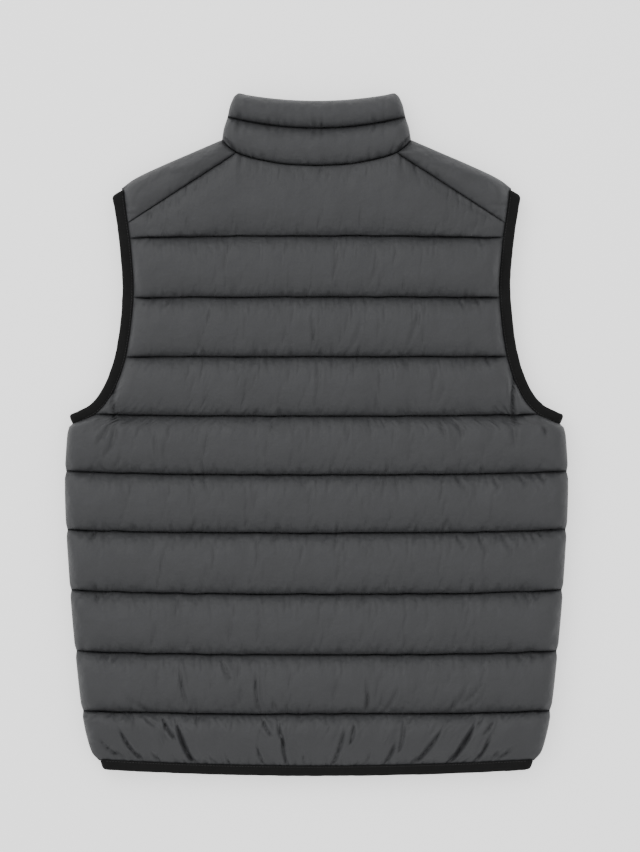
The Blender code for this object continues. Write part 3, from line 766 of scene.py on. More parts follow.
# Enamelled metal of the slider and its pull, a little worn
ENAMEL = make_finish(
    "slider_enamel", (0.016, 0.016, 0.017), 0.35, tones=((500.0, 5.0, 1.0),),
    colours=((0.010, 0.010, 0.011), (0.028, 0.028, 0.03)), gloss=(220.0, 0.28, 0.42),
    relief=((700.0, 3.0, 0.015),))

# Rows across one channel of each grid
HEM_ROWS = 40
BACK_ROWS = 19
FRONT_ROWS = 15
YOKE_ROWS = 34
COLLAR_ROWS = 22
SIM_ROWS = 13
# Columns of a front to the corner of its neck, and from there to the arm
NECK_STEPS = 64
ARM_STEPS = 96
# Columns of the back's even middle and of each rounded side, in the piece and in the simulation
BACK_COLUMNS = (391, 12)
SIM_COLUMNS = (200, 4)
# Share of the back's half width where its columns are even
EVEN_SHARE = 244 / 270

# Puckers of each line, met by the channels on both sides of it
LINE_PUCKERS = [pucker_table(100 + line, -275, 275, 8, 19, 0.34) for line in range(9)]
LINE_PUCKERS += [pucker_table(100 + line, -275, 275, 10, 24, 0.22) for line in (9, 10)]
LINE_PUCKERS[0] = pucker_table(90, -245, 245, 5, 10, 0.55)


def channel_grid(lines, shares, columns_at):
    """Grids of x and height over all channels, with each point's distances to its seams and side.

    columns_at gives the x of a channel's columns at a share of the way up it, for a half width.
    """
    xs, heights, lows, highs, widths, channels = [], [], [], [], [], []
    for channel in range(len(lines) - 1):
        lower, upper = lines[channel], lines[channel + 1]
        start, stop = edge_height(lower), edge_height(upper)
        own = shares(channel)
        if channel < len(lines) - 2:
            own = own[:-1]
        for share in own:
            width = float(half_width(mix(start, stop, share)))
            x = columns_at(channel, share, width)
            span = upper(x) - lower(x)
            xs.append(x)
            heights.append(lower(x) + span * share)
            lows.append(span * share)
            highs.append(span * (1 - share))
            widths.append(np.full_like(x, width))
            channels.append(np.full(len(x), channel))
    return [np.array(part) for part in (xs, heights, lows, highs, widths, channels)]


def line_puckers(x, low, high, channel, shift=0.0):
    """Share of the puff that the puckers along the quilt lines take."""
    taken = np.zeros_like(x)
    for index in range(int(channel.max()) + 1):
        rows = channel[:, 0] == index
        taken[rows] += puckers(x[rows] + shift, low[rows], LINE_PUCKERS[index])
        taken[rows] += puckers(x[rows] + shift, high[rows], LINE_PUCKERS[index + 1], -1)
    return np.clip(taken, 0, MOST_PUCKERED)


def gathered(full, place, low, high, channel):
    """The puff less its gathers over the hem. Place is where a column meets the first quilt line."""
    share = up_share(low, high)
    taken = np.zeros_like(place)
    for _, line_place, hem_trough, line_trough in GATHERS:
        trough = mix(hem_trough, line_trough, share) * GATHER_DEPTH
        taken += trough * np.exp(-((place - line_place) / GATHER_WIDTH) ** 2)
    return np.where(channel == 0, full * (1 - np.clip(taken, 0, 0.8)), full)


HEM_HALF = float(half_width(edge_height(hem_edge)))
LINE_HALF = float(half_width(QUILT_LINES[0][0]))
HEM_SHARES = [-1.0] + [row[0] / HEM_HALF for row in GATHERS] + [1.0]
LINE_SHARES = [-1.0] + [row[1] / LINE_HALF for row in GATHERS] + [1.0]


def end_fans():
    """Short creases that spread from both ends of each quilt line, as rows of the crease table."""
    draw = np.random.default_rng(71)
    rows = []
    for line in LINES:
        width = float(half_width(edge_height(line)))
        for side in (-1, 1):
            for inset in (16, 29, 44)[:draw.integers(2, 4)]:
                x = width - inset + draw.uniform(-4, 4)
                start = float(line(x)) - 1.5
                length = draw.uniform(8, 15)
                rows.append((side * x, start, side * (x + 0.6 * length), start - 0.8 * length,
                             draw.uniform(1.2, 2.6), 1.5))
    return rows


def back_rows(channel):
    """Rows of a channel, with one more close to each seam where there are few."""
    if channel == 0:
        return row_shares(HEM_ROWS)
    return np.sort(np.append(row_shares(BACK_ROWS), (0.013, 0.987)))


def back_columns(count, edge_count):
    """Places across the back from -1 to 1, closer together where its sides round over."""
    steps = (1 - np.cos(np.linspace(0, pi / 2, edge_count + 1)[:-1])) * (1 - EVEN_SHARE)
    middle = np.linspace(-EVEN_SHARE, EVEN_SHARE, count)
    return np.concatenate([steps - 1, middle, (1 - steps)[::-1]])


def back_grid(columns, rows_of):
    """The back's grid of x, height, distance to both seams, half width and channel."""
    lines = body_lines(back_top)
    top_width = float(half_width(edge_height(back_top)))
    corner = SHOULDER_NECK_WIDTH / top_width
    left = columns[np.argmin(np.abs(columns + corner))]
    right = columns[np.argmin(np.abs(columns - corner))]

    def columns_at(channel, share, width):
        place = columns
        if channel == 0:
            place = mix(np.interp(columns, LINE_SHARES, HEM_SHARES), columns, share)
        if channel == len(lines) - 2:
            at_seam = np.interp(columns, (-1, left, right, 1), (-1, -corner, corner, 1))
            place = mix(columns, at_seam, share)
        return place * width

    return channel_grid(lines, rows_of, columns_at)


def under_binding(height):
    """How far a binding reaches in over a panel's side."""
    return BINDING_OVERLAP * ease((height - ARMHOLE_START) / 12)


def shoulder_lift(full, high, rim, most):
    """The puff near the seam or fold at its top, which the other cloth of the shoulder holds up."""
    lift = SHOULDER_LIFT * np.exp(-(high / SHOULDER_REACH) ** 2) * rim
    return lift + full * (1 - lift / most)


def back_fullness(x, height, low, high, width, channel):
    """The back's puff, before its gathers and creases."""
    hem = channel == 0
    rim = rounding(width - np.abs(x) - under_binding(height), SIDE_ROUNDING)
    own_low = low - np.where(hem, BINDING_OVERLAP - SEAM_FLOOR, 0)
    full = BACK_PUFF * sewn_puff(own_low, high, np.where(hem, LINE_LIFT, LOW_LIFT))
    full *= channel_fullness(low + high) * rim
    full = np.where(hem, full * mix(0.6, 1.0, ease(1.2 * up_share(low, high))), full)
    return shoulder_lift(full, high, rim * (channel == len(LINES)), BACK_PUFF)


def grid_rows(low, high, channel):
    """Each row's channel and share of the way up it, as one number."""
    middle = low.shape[1] // 2
    return channel[:, middle] + low[:, middle] / (low + high)[:, middle]


def work_out_swelling():
    """The back's swelling at a coarse grid, with that grid's rows and columns."""
    columns = back_columns(*SIM_COLUMNS)
    x, height, low, high, width, channel = back_grid(columns, lambda _: row_shares(SIM_ROWS))
    full = back_fullness(x, height, low, high, width, channel)
    held = (low < 0.01) | (high < 0.01)
    held[:, [0, -1]] = True
    moves = billow(spots(x, height, INSIDE_LEVEL + SEAM_WALL + full), held, 51)
    moves[..., 1:] -= moves[:, 20:-20, 1:].mean(axis=1, keepdims=True)
    return moves, grid_rows(low, high, channel), columns


def read_swelling(swelling, x, low, high, width, channel, places):
    """The back's swelling at the points of a finer grid, with its folds leaning a little."""
    moves, rows, columns = swelling
    lean = (SIM_LEAN + 0.18 * wave(x, 85, 52)) * (low - high) / 2
    fine = finer(moves, rows, columns, grid_rows(low, high, channel), places - lean / width)
    calm = mix(0.55, 1.0, np.abs(2 * up_share(low, high) - 1)) * ease((width - np.abs(x)) / 26)
    calm *= ease(np.minimum(low, high) / 3)
    return fine * calm[..., None]


def build_back(swelling):
    """The back: ten channels over a plain inside, gathered into the hem. Gives its edge."""
    columns = back_columns(*BACK_COLUMNS)
    x, height, low, high, width, channel = back_grid(columns, back_rows)
    full = back_fullness(x, height, low, high, width, channel)
    moves = read_swelling(swelling, x, low, high, width, channel, columns)
    full = gathered(full, np.broadcast_to(columns * LINE_HALF, x.shape), low, high, channel)
    full *= 1 - line_puckers(x, low, high, channel)
    for side in (-1, 1):
        full *= left_by_puckers(height, width - side * x, 140 + side, 20, 660, 6, 15, 0.4)
    swell = puff((low + 1) / (low + high + 2))
    full += swell * (0.8 * lumps(x, height, 33, 21) + 0.35 * lumps(x, height, 15, 22))
    full += swell * drape(x, height, 61) * mix(1.0, 0.5, ease((height - 430) / 120))
    full *= 1 + 0.05 * wave(x + 97 * channel, 70, 23)
    full -= crease_depth(x, height, list(CREASES) + end_fans()) * np.minimum(1, full / 5)
    full -= crease_depth(x, height, DARTS) * np.minimum(1, full / 4)
    full = np.maximum(full + moves[..., 2], 0)
    sway = 0.55 * lumps(x, height, 17, 81) * ease((height - 15) / 12)
    sway *= ease((back_top(x) - height) / 14)
    outer = spots(x + moves[..., 0], height + moves[..., 1] + sway, BACK_INSIDE + SEAM_WALL + full)
    make_pad("back_quilted", "back", outer, spots(x, height, BACK_INSIDE), plain=True)
    return x[:, -1], height[:, -1]


def build_front(name, side, swelling):
    """One front: flat where it rests, quilted, and folded over its shoulder to the seam on the back.

    Gives its own edge and that of its strip over the shoulder.
    """
    lines = body_lines(front_top)
    corner = NECK_STEPS
    top_width = float(half_width(edge_height(front_top)))
    corner_share = (SHOULDER_FOLD[0][0] - FRONT_EDGE) / (top_width - FRONT_EDGE)
    neck_part = np.linspace(0, 1, corner + 1)
    arm_part = np.linspace(0, 1, ARM_STEPS + 1)[1:]
    columns = np.r_[mix(1 - np.cos(pi / 2 * neck_part), neck_part, 0.55) * corner_share,
                    mix(corner_share, 1.0, mix(arm_part, np.sin(pi / 2 * arm_part), 0.5))]
    past = (columns[corner + 1:] - columns[corner]) / (1 - columns[corner])
    top_shares = np.r_[corner_share * np.sin(pi / 2 * neck_part), mix(corner_share, 1.0, past)]
    own = [row for row in GATHERS if side * row[0] > 2 * FRONT_EDGE]
    own = sorted((side * row[0], side * row[1]) for row in own)
    hem_places = [0.0] + [(hem - FRONT_EDGE) / (HEM_HALF - FRONT_EDGE) for hem, _ in own] + [1.0]
    line_places = [0.0] + [(line - FRONT_EDGE) / (LINE_HALF - FRONT_EDGE) for _, line in own] + [1.0]

    def columns_at(channel, share, width):
        place = columns
        if channel == 0:
            place = mix(np.interp(columns, line_places, hem_places), columns, share)
        if channel == len(lines) - 2:
            place = mix(columns, top_shares, share)
        return mix(FRONT_EDGE, width, place)

    x, height, low, high, width, channel = channel_grid(
        lines, lambda _: row_shares(FRONT_ROWS), columns_at)
    low_lift = np.where(channel == 0, LINE_LIFT, LOW_LIFT)
    full = FRONT_PUFF * sewn_puff(low, high, low_lift) * channel_fullness(low + high)
    full *= rounding(width - x - under_binding(height), SIDE_ROUNDING)
    full *= rounding(x - FRONT_EDGE, CENTRE_ROUNDING)
    place = np.broadcast_to(side * mix(FRONT_EDGE, LINE_HALF, columns), x.shape)
    full = gathered(full, place, low, high, channel)
    full *= 1 - line_puckers(side * x, low, high, channel, shift=40.0)
    full *= left_by_puckers(height, width - x, 150 + side, 20, 660, 6, 15, 0.4)
    full *= left_by_puckers(height, x - FRONT_EDGE, 152 + side, 20, 620, 7, 16, 0.4)
    moves = read_swelling(swelling, x, low, high, width, channel, -side * x / width)
    full += moves[..., 2] * ease((x - FRONT_EDGE) / 20)
    level = np.maximum(0.0, FRONT_INSIDE - SEAM_WALL - full)
    level[-1, corner:] = FRONT_INSIDE + GAP / 2
    inner_height = height.copy()
    inner_height[-1, corner:] -= FOLD_INSET
    yoke_x, yoke_height, yoke_level, yoke_inner = yoke_grid(side, top_shares, corner, top_width)
    missing = np.full((len(yoke_x), corner, 3), np.nan)
    grids = []
    for own, strip in ((spots(side * x, height, level), spots(side * yoke_x, yoke_height, yoke_level)),
                       (spots(side * x, inner_height, FRONT_INSIDE),
                        spots(side * yoke_x, yoke_inner, BACK_INSIDE))):
        grids.append(np.concatenate([own, np.concatenate([missing, strip], axis=1)]))
    make_pad(f"{name}_quilted", name, *grids)
    return (x[:, -1], height[:, -1]), (yoke_x[:, -1], yoke_height[:, -1])


def yoke_grid(side, top_shares, corner, top_width):
    """The front's strip that goes on over the shoulder to the diagonal seam on the back."""
    fold_width, fold_height = SHOULDER_FOLD[0]
    arm_fold_height = SHOULDER_FOLD[-1][1]
    share = row_shares(YOKE_ROWS)[1:, None]
    neck_x = fold_width - (fold_width - SHOULDER_NECK_WIDTH) * share
    neck_height = neck_seam(neck_x) - SEAM_GAP + SEAM_GAP * share
    arm_height = mix(arm_fold_height, edge_height(back_top) + SEAM_GAP, share)
    arm_x = half_width(arm_height)
    own = top_shares[corner:]
    along = (own - own[0]) / (1 - own[0])
    fold_x = mix(FRONT_EDGE, top_width, own)
    bulge = (front_top(fold_x) - mix(fold_height, arm_fold_height, along)) * (1 - share)
    x = mix(neck_x, arm_x, along)
    height = mix(neck_height, arm_height, along) + bulge
    seam = np.hypot(arm_x[-1] - neck_x[-1], arm_height[-1] - neck_height[-1]) * along
    seam = np.broadcast_to(seam, x.shape)
    span = mix(np.hypot(fold_width - SHOULDER_NECK_WIDTH, 16.0), 40.0, along)
    high = span * (1 - share)
    arm_rim = rounding(arm_x - x - BINDING_OVERLAP, SIDE_ROUNDING)
    full = YOKE_PUFF * puff(share) * arm_rim * rounding(x - neck_x + 2 * GAP, SIDE_ROUNDING)
    full = shoulder_lift(full, high, arm_rim * rounding(x - neck_x + 2 * GAP, 6), YOKE_PUFF)
    held = np.zeros(x.shape, bool)
    held[[0, -1]] = True
    held[:, [0, -1]] = True
    moves = wrinkles(x, height, INSIDE_LEVEL + full, held, 53 + side)
    full += 0.5 * moves[..., 2] * ease(np.minimum(high, span * share) / 4) * ease((arm_x - x) / 20)
    full *= left_by_puckers(seam, high, 160 + side, -4, 140, 9, 20, 0.2)
    full *= left_by_puckers(height, arm_x - x, 162 + side, 600, 670, 6, 12, 0.4)
    full *= left_by_puckers(height, x - neck_x, 164 + side, 680, 712, 5, 9, 0.3)
    mounds = 0.8 * lumps(side * x, height, 30, 24) + 0.4 * lumps(side * x, height, 13, 25)
    full += puff(share) * mounds
    level = BACK_INSIDE + SEAM_WALL * share + np.maximum(full, 0) + GAP
    return x, height, level, height - FOLD_INSET * (1 - share)


def build_collar():
    """The collar: a band of two channels, folded flat at both sides, its ends at the centre front."""
    shares = row_shares(COLLAR_ROWS)
    rows = [(0, share) for share in shares[:-1]] + [(1, share) for share in shares]
    back_places = np.sin(pi / 2 * np.linspace(-1, 1, 171))[1:-1]
    turns = pi / 2 * np.linspace(0, 1, 65)[:-1]
    side_lines = (COLLAR_SIDE[0][0] + SEAM_GAP, COLLAR_SIDE_LINE, COLLAR_SIDE_TOP)
    front_lines = (FRONT_NECK_HEIGHT + SEAM_GAP, COLLAR_FRONT_LINE, COLLAR_FRONT_TOP)
    all_tables = [pucker_table(*row) for row in COLLAR_PUCKERS]
    outer, inner = [], []
    for channel, share in rows:
        tables = all_tables[channel:channel + 2]
        side_height = mix(side_lines[channel], side_lines[channel + 1], share)
        width = float(smooth(COLLAR_SIDE, side_height))
        front_height = mix(front_lines[channel], front_lines[channel + 1], share)
        x = mix(FRONT_EDGE, width, np.sin(turns))
        height = side_height - (side_height - front_height) * np.cos(turns)
        span = mix(COLLAR_FRONT_TOP - COLLAR_FRONT_LINE, side_lines[channel + 1] - side_lines[channel],
                   np.sin(turns))
        full = collar_fullness(FRONT_PUFF, x, span, share, width - x, tables)
        full *= rounding(x - FRONT_EDGE, CENTRE_ROUNDING)
        level = np.maximum(0.0, FRONT_INSIDE - SEAM_WALL - full)
        inner_x = x - fold_inset(width - x)
        past = (side_height - COLLAR_CORNER_START) / (LENGTH - COLLAR_CORNER_START)
        own_width = width - COLLAR_CORNER * max(0.0, past) ** 2
        back = collar_back_row(back_places, channel, share, own_width, tables)
        for grid, own_x, own_level, fold, back_row in (
                (outer, x, level, (own_width, INSIDE_LEVEL), back[0]),
                (inner, inner_x, FRONT_INSIDE, (own_width - FOLD_INSET, FRONT_INSIDE), back[1])):
            ends = spots(np.array([-1, 1]) * fold[0], side_height, fold[1])
            left, right = [spots(sign * own_x * own_width / width, height, own_level)
                           for sign in (-1, 1)]
            grid.append(np.concatenate([left, ends[:1], back_row, ends[1:], right[::-1]]))
    make_pad("collar_quilted", "collar", np.array(outer), np.array(inner))


def collar_fullness(most, x, span, share, distance, tables):
    """The collar's puff across a channel, rounded at the collar's side and less its puckers."""
    low, high = span * share, span * (1 - share)
    full = most * sewn_puff(low, high) * rounding(distance, COLLAR_ROUNDING)
    return full * (1 - puckers(x, low, tables[0])) * (1 - puckers(x, high, tables[1]))


def collar_back_row(places, channel, share, width, tables):
    """One row of the back half of the collar, as outer and inner points."""
    x = places * width
    rise = places * places
    lines = (neck_seam(x) + SEAM_GAP, mix(COLLAR_BACK_LINE, COLLAR_SIDE_LINE, rise),
             mix(COLLAR_BACK_TOP, COLLAR_SIDE_TOP, rise))
    span = lines[channel + 1] - lines[channel]
    height = lines[channel] + span * share
    distance = width - np.abs(x)
    full = collar_fullness(COLLAR_PUFF, x, span, share, distance, tables)
    full += puff(share) * (0.7 * lumps(x, height, 26, 27) + 0.35 * lumps(x, height, 11, 28))
    full -= crease_depth(x, height, COLLAR_CREASES) * np.minimum(1, full / 4)
    inner_x = places * (width - fold_inset(distance))
    return (spots(x, height, BACK_INSIDE + SEAM_WALL + np.maximum(full, 0)),
            spots(inner_x, height, BACK_INSIDE))


# Section of one half of a binding, round its outer side: across it, up from the slit between the halves
BINDING_OUTLINE = (
    (0.0, 0.02),
    (0.45, 0.0),
    (0.90, 0.0),
    (0.985, 0.14),
    (1.0, 0.34),
    (0.985, 0.56),
    (0.93, 0.76),
    (0.82, 0.91),
    (0.66, 0.985),
    (0.45, 1.0),
    (0.24, 0.985),
    (0.06, 0.97),
    (-0.02, 0.91),
    (-0.09, 0.94),
    (-0.17, 0.88),
)
BINDING_CLOTH = 0.9
SHOULDER_SLANT = 0.5
HEM_SLANT = 0.4
PATH_STEP = 1.6


def run_along(path):
    """The distance along a path of each of its points."""
    return np.r_[0, np.cumsum(np.hypot(*np.diff(path, axis=0).T))]


def read_path(path, run, at):
    """The points of a path at given distances along it."""
    return np.stack([np.interp(at, run, part) for part in path.T], axis=1)


def directions(path):
    ahead = np.gradient(path, axis=0)
    return ahead / np.linalg.norm(ahead, axis=1, keepdims=True)


def right_of(path):
    """At each point of a level path, the direction to its right."""
    return directions(path)[:, ::-1] * (1, -1)


def even_path(along, across, low, high):
    """A path read off an edge between two places along it, with even steps."""
    keep = (along > low) & (along < high)
    ends = np.interp((low, high), along, across)
    path = np.stack([np.r_[low, along[keep], high], np.r_[ends[0], across[keep], ends[1]]], axis=1)
    run = run_along(path)
    return read_path(path, run, np.linspace(0, run[-1], int(run[-1] / PATH_STEP) + 1))


def binding_section(width):
    """A thin strip folded round an edge: its outer outline, then its inner one back."""
    outer = np.array(BINDING_OUTLINE) * (width, BINDING_THICKNESS)
    return np.concatenate([outer, (outer - right_of(outer) * BINDING_CLOTH)[::-1]])


def swept_rings(path, outward, lift, ahead, section, seed):
    """Rings of a binding's section along a path. Lift and ahead say how far the section is turned."""
    run = run_along(path)
    across, up = section.T
    wide = 1 + 0.018 * wave(run, 7, seed)[:, None] + 0.02 * wave(run, 23, seed + 1)[:, None]
    tall = 1 + 0.05 * wave(run, 5, seed + 2)[:, None]
    reach = GAP + across * wide
    rise = GAP / 2 + up * tall
    x = path[:, :1] + outward[:, :1] * reach + ahead[:, :1] * rise
    height = path[:, 1:] + outward[:, 1:] * reach + ahead[:, 1:] * rise
    return spots(x, height, INSIDE_LEVEL + lift[:, None] * rise)


def half_run(path, upper, section, seed):
    """Rings along a path, of the binding's upper or lower half."""
    side = 1.0 if upper else -1.0
    return swept_rings(path, right_of(path) * side, np.full(len(path), side), np.zeros_like(path),
                       section, seed)


def fold_run(path, outward, section, seed):
    """Rings round the end of a path, from its upper half to its lower one."""
    turn = pi * np.linspace(0, 1, 13)[1:-1, None]
    ends = [np.tile(part[-1], (len(turn), 1)) for part in (path, outward)]
    ahead = path[-1] - path[-2]
    ahead = np.sin(turn) * (ahead / np.linalg.norm(ahead))
    return swept_rings(*ends, np.cos(turn[:, 0]), ahead, section, seed)


def both_folds(path, outward, section, seed):
    """The rings before a path's start and those after its end."""
    return (fold_run(path[::-1], outward[::-1], section, seed)[::-1],
            fold_run(path, outward, section, seed + 1))


def sweep_faces(count, ring, closed):
    """Faces of a skin over a run of rings, with its two ends closed where it has ends."""
    total = count if closed else count - 1
    first = np.repeat(np.arange(total), ring) * ring
    after = (np.repeat(np.arange(total), ring) + 1) % count * ring
    here = np.tile(np.arange(ring), total)
    there = (here + 1) % ring
    faces = [np.stack([first + there, first + here, after + here, after + there], axis=1)]
    if not closed:
        ends = np.arange(ring // 2 - 1)
        cap = np.stack([ends, ends + 1, ring - 2 - ends, ring - 1 - ends], axis=1)
        faces += [cap, cap[:, ::-1] + (count - 1) * ring]
    return faces


def build_binding(name, rings, closed):
    """A binding skinned over its rings, in place of its node."""
    faces = sweep_faces(*rings.shape[:2], closed)
    piece = make_piece(f"{name}_knit", rings.reshape(-1, 3), faces, ELASTIC, "binding", crisp=75)
    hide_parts(name)


def build_armhole_binding(name, side, upper_edge, lower_edge):
    """A loop of binding round one armhole, folded flat at the shoulder and under the arm."""
    section = binding_section(BINDING_WIDTH)
    upper, lower = [even_path(height, x, UNDERARM_END, SHOULDER_END)[:, ::-1] * (side, 1)
                    for x, height in (upper_edge, lower_edge)]
    if side > 0:
        lower = lower[::-1]
    else:
        upper = upper[::-1]
    outward = right_of(upper)
    start, end = both_folds(upper, outward, section, 31)
    rings = np.concatenate([half_run(upper, True, section, 33 + side), end,
                            half_run(lower, False, section, 36 + side), start])
    near = ease(1 - (SHOULDER_END - LENGTH / 2 - rings[..., 1] / MM) / 16)
    past_panel = np.maximum(side * rings[..., 0] - half_width(SHOULDER_END - 4) * MM, 0)
    rings[..., 1] -= near * SHOULDER_SLANT * past_panel
    build_binding(name, rings, True)
    stitch_binding(name, upper, outward)


def build_hem_binding():
    """A band of binding along the hem, folded flat at both sides, its ends at the centre front."""
    section = binding_section(HEM_BINDING_WIDTH)
    x = np.linspace(-HEM_BINDING_END, HEM_BINDING_END, 700)
    upper = even_path(x, hem_edge(x), -HEM_BINDING_END, HEM_BINDING_END)
    right = even_path(x, hem_edge(x), FRONT_EDGE, HEM_BINDING_END)[::-1]
    left = right[::-1] * (-1, 1)
    outward = right_of(upper)
    start, end = both_folds(upper, outward, section, 41)
    rings = np.concatenate([half_run(left, False, section, 43), start,
                            half_run(upper, True, section, 44), end,
                            half_run(right, False, section, 45)])
    near = ease((np.abs(rings[..., 0]) / MM - HEM_BINDING_END + 18) / 18)
    below = np.maximum((hem_edge(HEM_BINDING_END) - LENGTH / 2) * MM - rings[..., 1], 0)
    rings[..., 0] -= near * HEM_SLANT * below * np.sign(rings[..., 0])
    build_binding("hem_binding", rings, False)
    stitch_binding("hem_binding", upper, outward)


# Stitches
STITCH_PITCH = 3.2
STITCH_RADIUS = 0.28
STITCH_PLACES = np.array([-1.15, -0.736, 0.736, 1.15])
STITCH_ROUNDNESS = np.array([0.35, 1, 1, 0.35])
STITCH_DROPS = np.array([-0.25, 0, 0, -0.25])
STITCH_INSET = 3
BINDING_STITCH_INSET = 0.1
BINDING_STITCH_LEVEL = INSIDE_LEVEL + BINDING_THICKNESS * 0.93 + GAP / 2


def stitch_points(middle, level):
    """Rings of short round stitches, each dipping at its two ends."""
    turn = 2 * pi * np.arange(5) / 5
    radii = STITCH_ROUNDNESS[:, None] * STITCH_RADIUS
    middle, ahead, right = [part[:, None, None, :]
                            for part in (middle, directions(middle), right_of(middle))]
    flat = middle + ahead * STITCH_PLACES[:, None, None] + right * (radii * np.cos(turn))[..., None]
    rise = level + STITCH_DROPS[:, None] + radii * np.sin(turn)
    return spots(flat[..., 0], flat[..., 1], rise)


def stitch_mesh(name, groups, finish, slot):
    """Stitches as one piece, from groups of points made by stitch_points."""
    rings = np.concatenate(groups)
    start = (np.arange(len(rings)) * 20)[:, None, None]
    sides = sweep_faces(4, 5, False)[0]
    ends = np.array([[0, 1, 2, 3, 4], [19, 18, 17, 16, 15]])
    faces = [(sides[None] + start).reshape(-1, 4), (ends[None] + start).reshape(-1, 5)]
    make_piece(name, rings.reshape(-1, 3), faces, finish, slot, crisp=80)


def stitch_binding(name, path, outward):
    """A line of stitches along a binding's inner edge."""
    run = run_along(path)
    at = np.arange(STITCH_PITCH, run[-1] - STITCH_PITCH, STITCH_PITCH)
    middle = read_path(path + outward * BINDING_STITCH_INSET, run, at)
    stitch_mesh(f"{name}_stitches", [stitch_points(middle, BINDING_STITCH_LEVEL)], BINDING_THREAD,
                "binding")


def quilt_stitches(name, low_x, high_x, level):
    """Stitches in the grooves of one panel's quilt lines."""
    groups = []
    for line in LINES:
        width = float(half_width(edge_height(line))) - STITCH_INSET
        x = np.arange(max(low_x, -width), min(high_x, width), STITCH_PITCH)
        groups.append(stitch_points(np.stack([x, line(x)], axis=1), level))
    stitch_mesh(name, groups, SEAM_THREAD, "shell")


# Zip, face down under the centre front
BOX_LENGTH = 9.0
ZIP_BOTTOM = 3.0 + BOX_LENGTH + GAP
ZIP_TOP = 701.0
ZIP_BACK = INSIDE_LEVEL - GAP
TAPE_OUTER = 8.6
TAPE_INNER = 3.1
TAPE_THICKNESS = 1.2
TOOTH_PITCH = 3.0
TOOTH_REACH = 2.8
TOOTH_HEAD = (0.9, 1.9)
TOOTH_DEPTH = 2.1


def boxes(blocks, bevel=0.25):
    """Points and faces of small blocks, from two corners each, cut off along the zip's length."""
    corners = []
    for low, high in blocks:
        ring = [(low[0] + bevel, low[1]), (high[0] - bevel, low[1]), (high[0], low[1] + bevel),
                (high[0], high[1] - bevel), (high[0] - bevel, high[1]), (low[0] + bevel, high[1]),
                (low[0], high[1] - bevel), (low[0], low[1] + bevel)]
        corners += [(x, y, level) for level in (low[2], high[2]) for x, y in ring]
    start = (np.arange(len(blocks)) * 16)[:, None, None]
    around = np.arange(8)
    after = (around + 1) % 8
    walls = np.stack([around, after, after + 8, around + 8], axis=1)
    caps = np.array([around[::-1], around + 8])
    return spots(*np.array(corners).T), [(walls[None] + start).reshape(-1, 4),
                                         (caps[None] + start).reshape(-1, 8)]


def build_zip():
    """Tapes with their woven edge, interlocked teeth on a core, and better finishes on the metal."""
    blocks = [((low, ZIP_BOTTOM, ZIP_BACK - TAPE_THICKNESS), (high, ZIP_TOP, ZIP_BACK))
              for low, high in ((-TAPE_OUTER, -TAPE_INNER), (TAPE_INNER, TAPE_OUTER))]
    tapes = make_piece("zip_tapes", *boxes(blocks), TAPE, "tape", crisp=30)
    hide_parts("zip_tape_left", "zip_tape_right")
    blocks = []
    for tooth in range(int((ZIP_TOP - ZIP_BOTTOM) / TOOTH_PITCH)):
        middle = ZIP_BOTTOM + (tooth + 0.5) * TOOTH_PITCH
        side = -1 if tooth % 2 else 1
        neck, tip = TOOTH_HEAD
        for ends, half, inset in (((side * TOOTH_REACH, -side * neck), 0.8, 0.0),
                                  ((-side * neck, -side * tip), 1.05, 0.1)):
            blocks.append(((min(ends), middle - half, ZIP_BACK - TOOTH_DEPTH + inset),
                           (max(ends), middle + half, ZIP_BACK - 0.1 - inset)))
    teeth = make_piece("zip_teeth", *boxes(blocks), MOULDED, "zip", crisp=30)
    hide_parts("zip_chain")
    core = [((-1.0, ZIP_BOTTOM, ZIP_BACK - 1.4), (1.0, ZIP_TOP, ZIP_BACK - 0.5))]
    make_piece("zip_core", *boxes(core), TAPE, "tape", crisp=30)
    for node, finish in (("zip_box", MOULDED), ("zip_slider", ENAMEL), ("zip_pull", ENAMEL)):
        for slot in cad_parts[node].material_slots:
            slot.material = finish


back_swelling = work_out_swelling()
back_edge = build_back(back_swelling)
for side_name, side in (("left", -1), ("right", 1)):
    front = f"front_{side_name}"
    front_edge, yoke_edge = build_front(front, side, back_swelling)
    upper_edge = [np.r_[own, strip[::-1]] for own, strip in zip(back_edge, yoke_edge)]
    build_armhole_binding(f"armhole_binding_{side_name}", side, upper_edge, front_edge)
build_hem_binding()
build_collar()
quilt_stitches("back_stitches", -300, 300, BACK_INSIDE + SEAM_WALL + STITCH_RISE)
for side_name, ends in (("left", (-300, -FRONT_EDGE - 2)), ("right", (FRONT_EDGE + 2, 300))):
    quilt_stitches(f"front_stitches_{side_name}", *ends, FRONT_INSIDE - SEAM_WALL - STITCH_RISE)
build_zip()

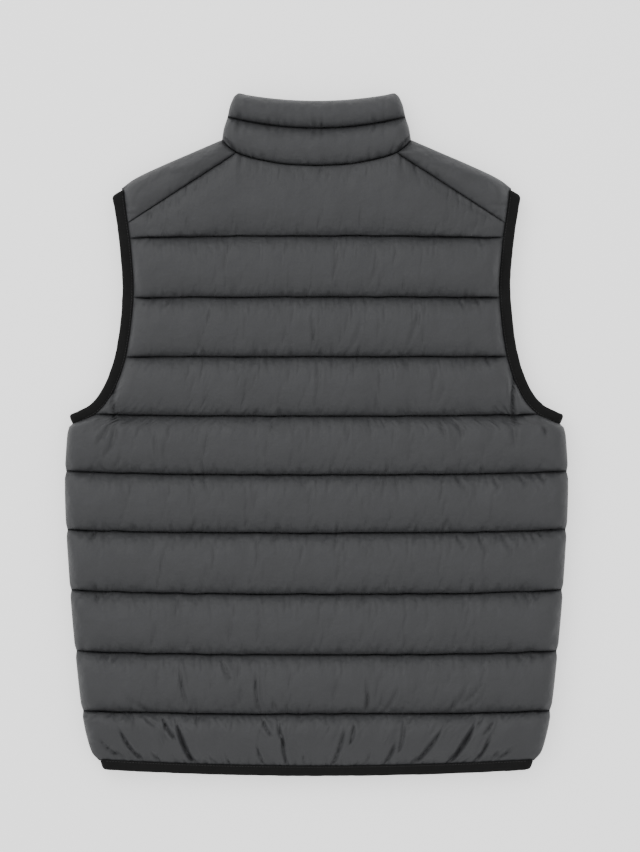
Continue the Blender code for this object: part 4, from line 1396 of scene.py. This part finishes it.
# Floor, light and camera. The photo's height is in pixels, and all places from here on are in metres.
PHOTO_HEIGHT = 852
METRES_PER_PIXEL = 1.11 * MM
CAMERA_PLACE = (0.0039, 0.0097, 8.0)
VIEW_LEVEL = 0.024
SENSOR = 36.0
FLOOR_LEVEL = -0.0004
FLOOR_REACH = 3


def build_floor():
    mesh = bpy.data.meshes.new("floor")
    corners = [(x * FLOOR_REACH, y * FLOOR_REACH, FLOOR_LEVEL)
               for x, y in ((-1, -1), (1, -1), (1, 1), (-1, 1))]
    mesh.from_pydata(corners, [], [(0, 1, 2, 3)])
    finish = make_finish("floor_white", (0.9, 0.9, 0.9), 0.9, tones=((3.0, 3.0, 1.0),),
                         colours=((0.89, 0.89, 0.89), (0.91, 0.91, 0.91)))
    surface = finish.node_tree.nodes["Principled BSDF"]
    surface.inputs["Emission Color"].default_value = (1, 1, 1, 1)
    surface.inputs["Emission Strength"].default_value = 0.9
    mesh.materials.append(finish)
    add_thing("floor", mesh)


def add_light(name, place, size, power):
    """A soft light that looks at the middle of the vest."""
    lamp = bpy.data.lights.new(name, "AREA")
    lamp.shape = "RECTANGLE"
    lamp.size, lamp.size_y = size
    lamp.energy = power
    holder = add_thing(name, lamp)
    holder.location = place
    holder.rotation_mode = "QUATERNION"
    holder.rotation_quaternion = Vector(-np.array(place)).to_track_quat("-Z", "Y")


def add_camera():
    camera = bpy.data.cameras.new("camera")
    camera.sensor_fit = "VERTICAL"
    camera.sensor_height = SENSOR
    camera.lens = SENSOR * (CAMERA_PLACE[2] - VIEW_LEVEL) / (PHOTO_HEIGHT * METRES_PER_PIXEL)
    holder = add_thing("camera", camera)
    holder.location = CAMERA_PLACE
    bpy.context.scene.camera = holder


build_floor()
add_camera()
add_light("key", (-1.3, 1.65, 2.0), (2.0, 1.6), 23)
add_light("fill", (-0.3, 0.4, 3.6), (2.4, 2.4), 12)
world = bpy.data.worlds.new("studio")
world.use_nodes = True
world.node_tree.nodes["Background"].inputs["Color"].default_value = (1, 1, 1, 1)
world.node_tree.nodes["Background"].inputs["Strength"].default_value = 1.0
bpy.context.scene.world = world
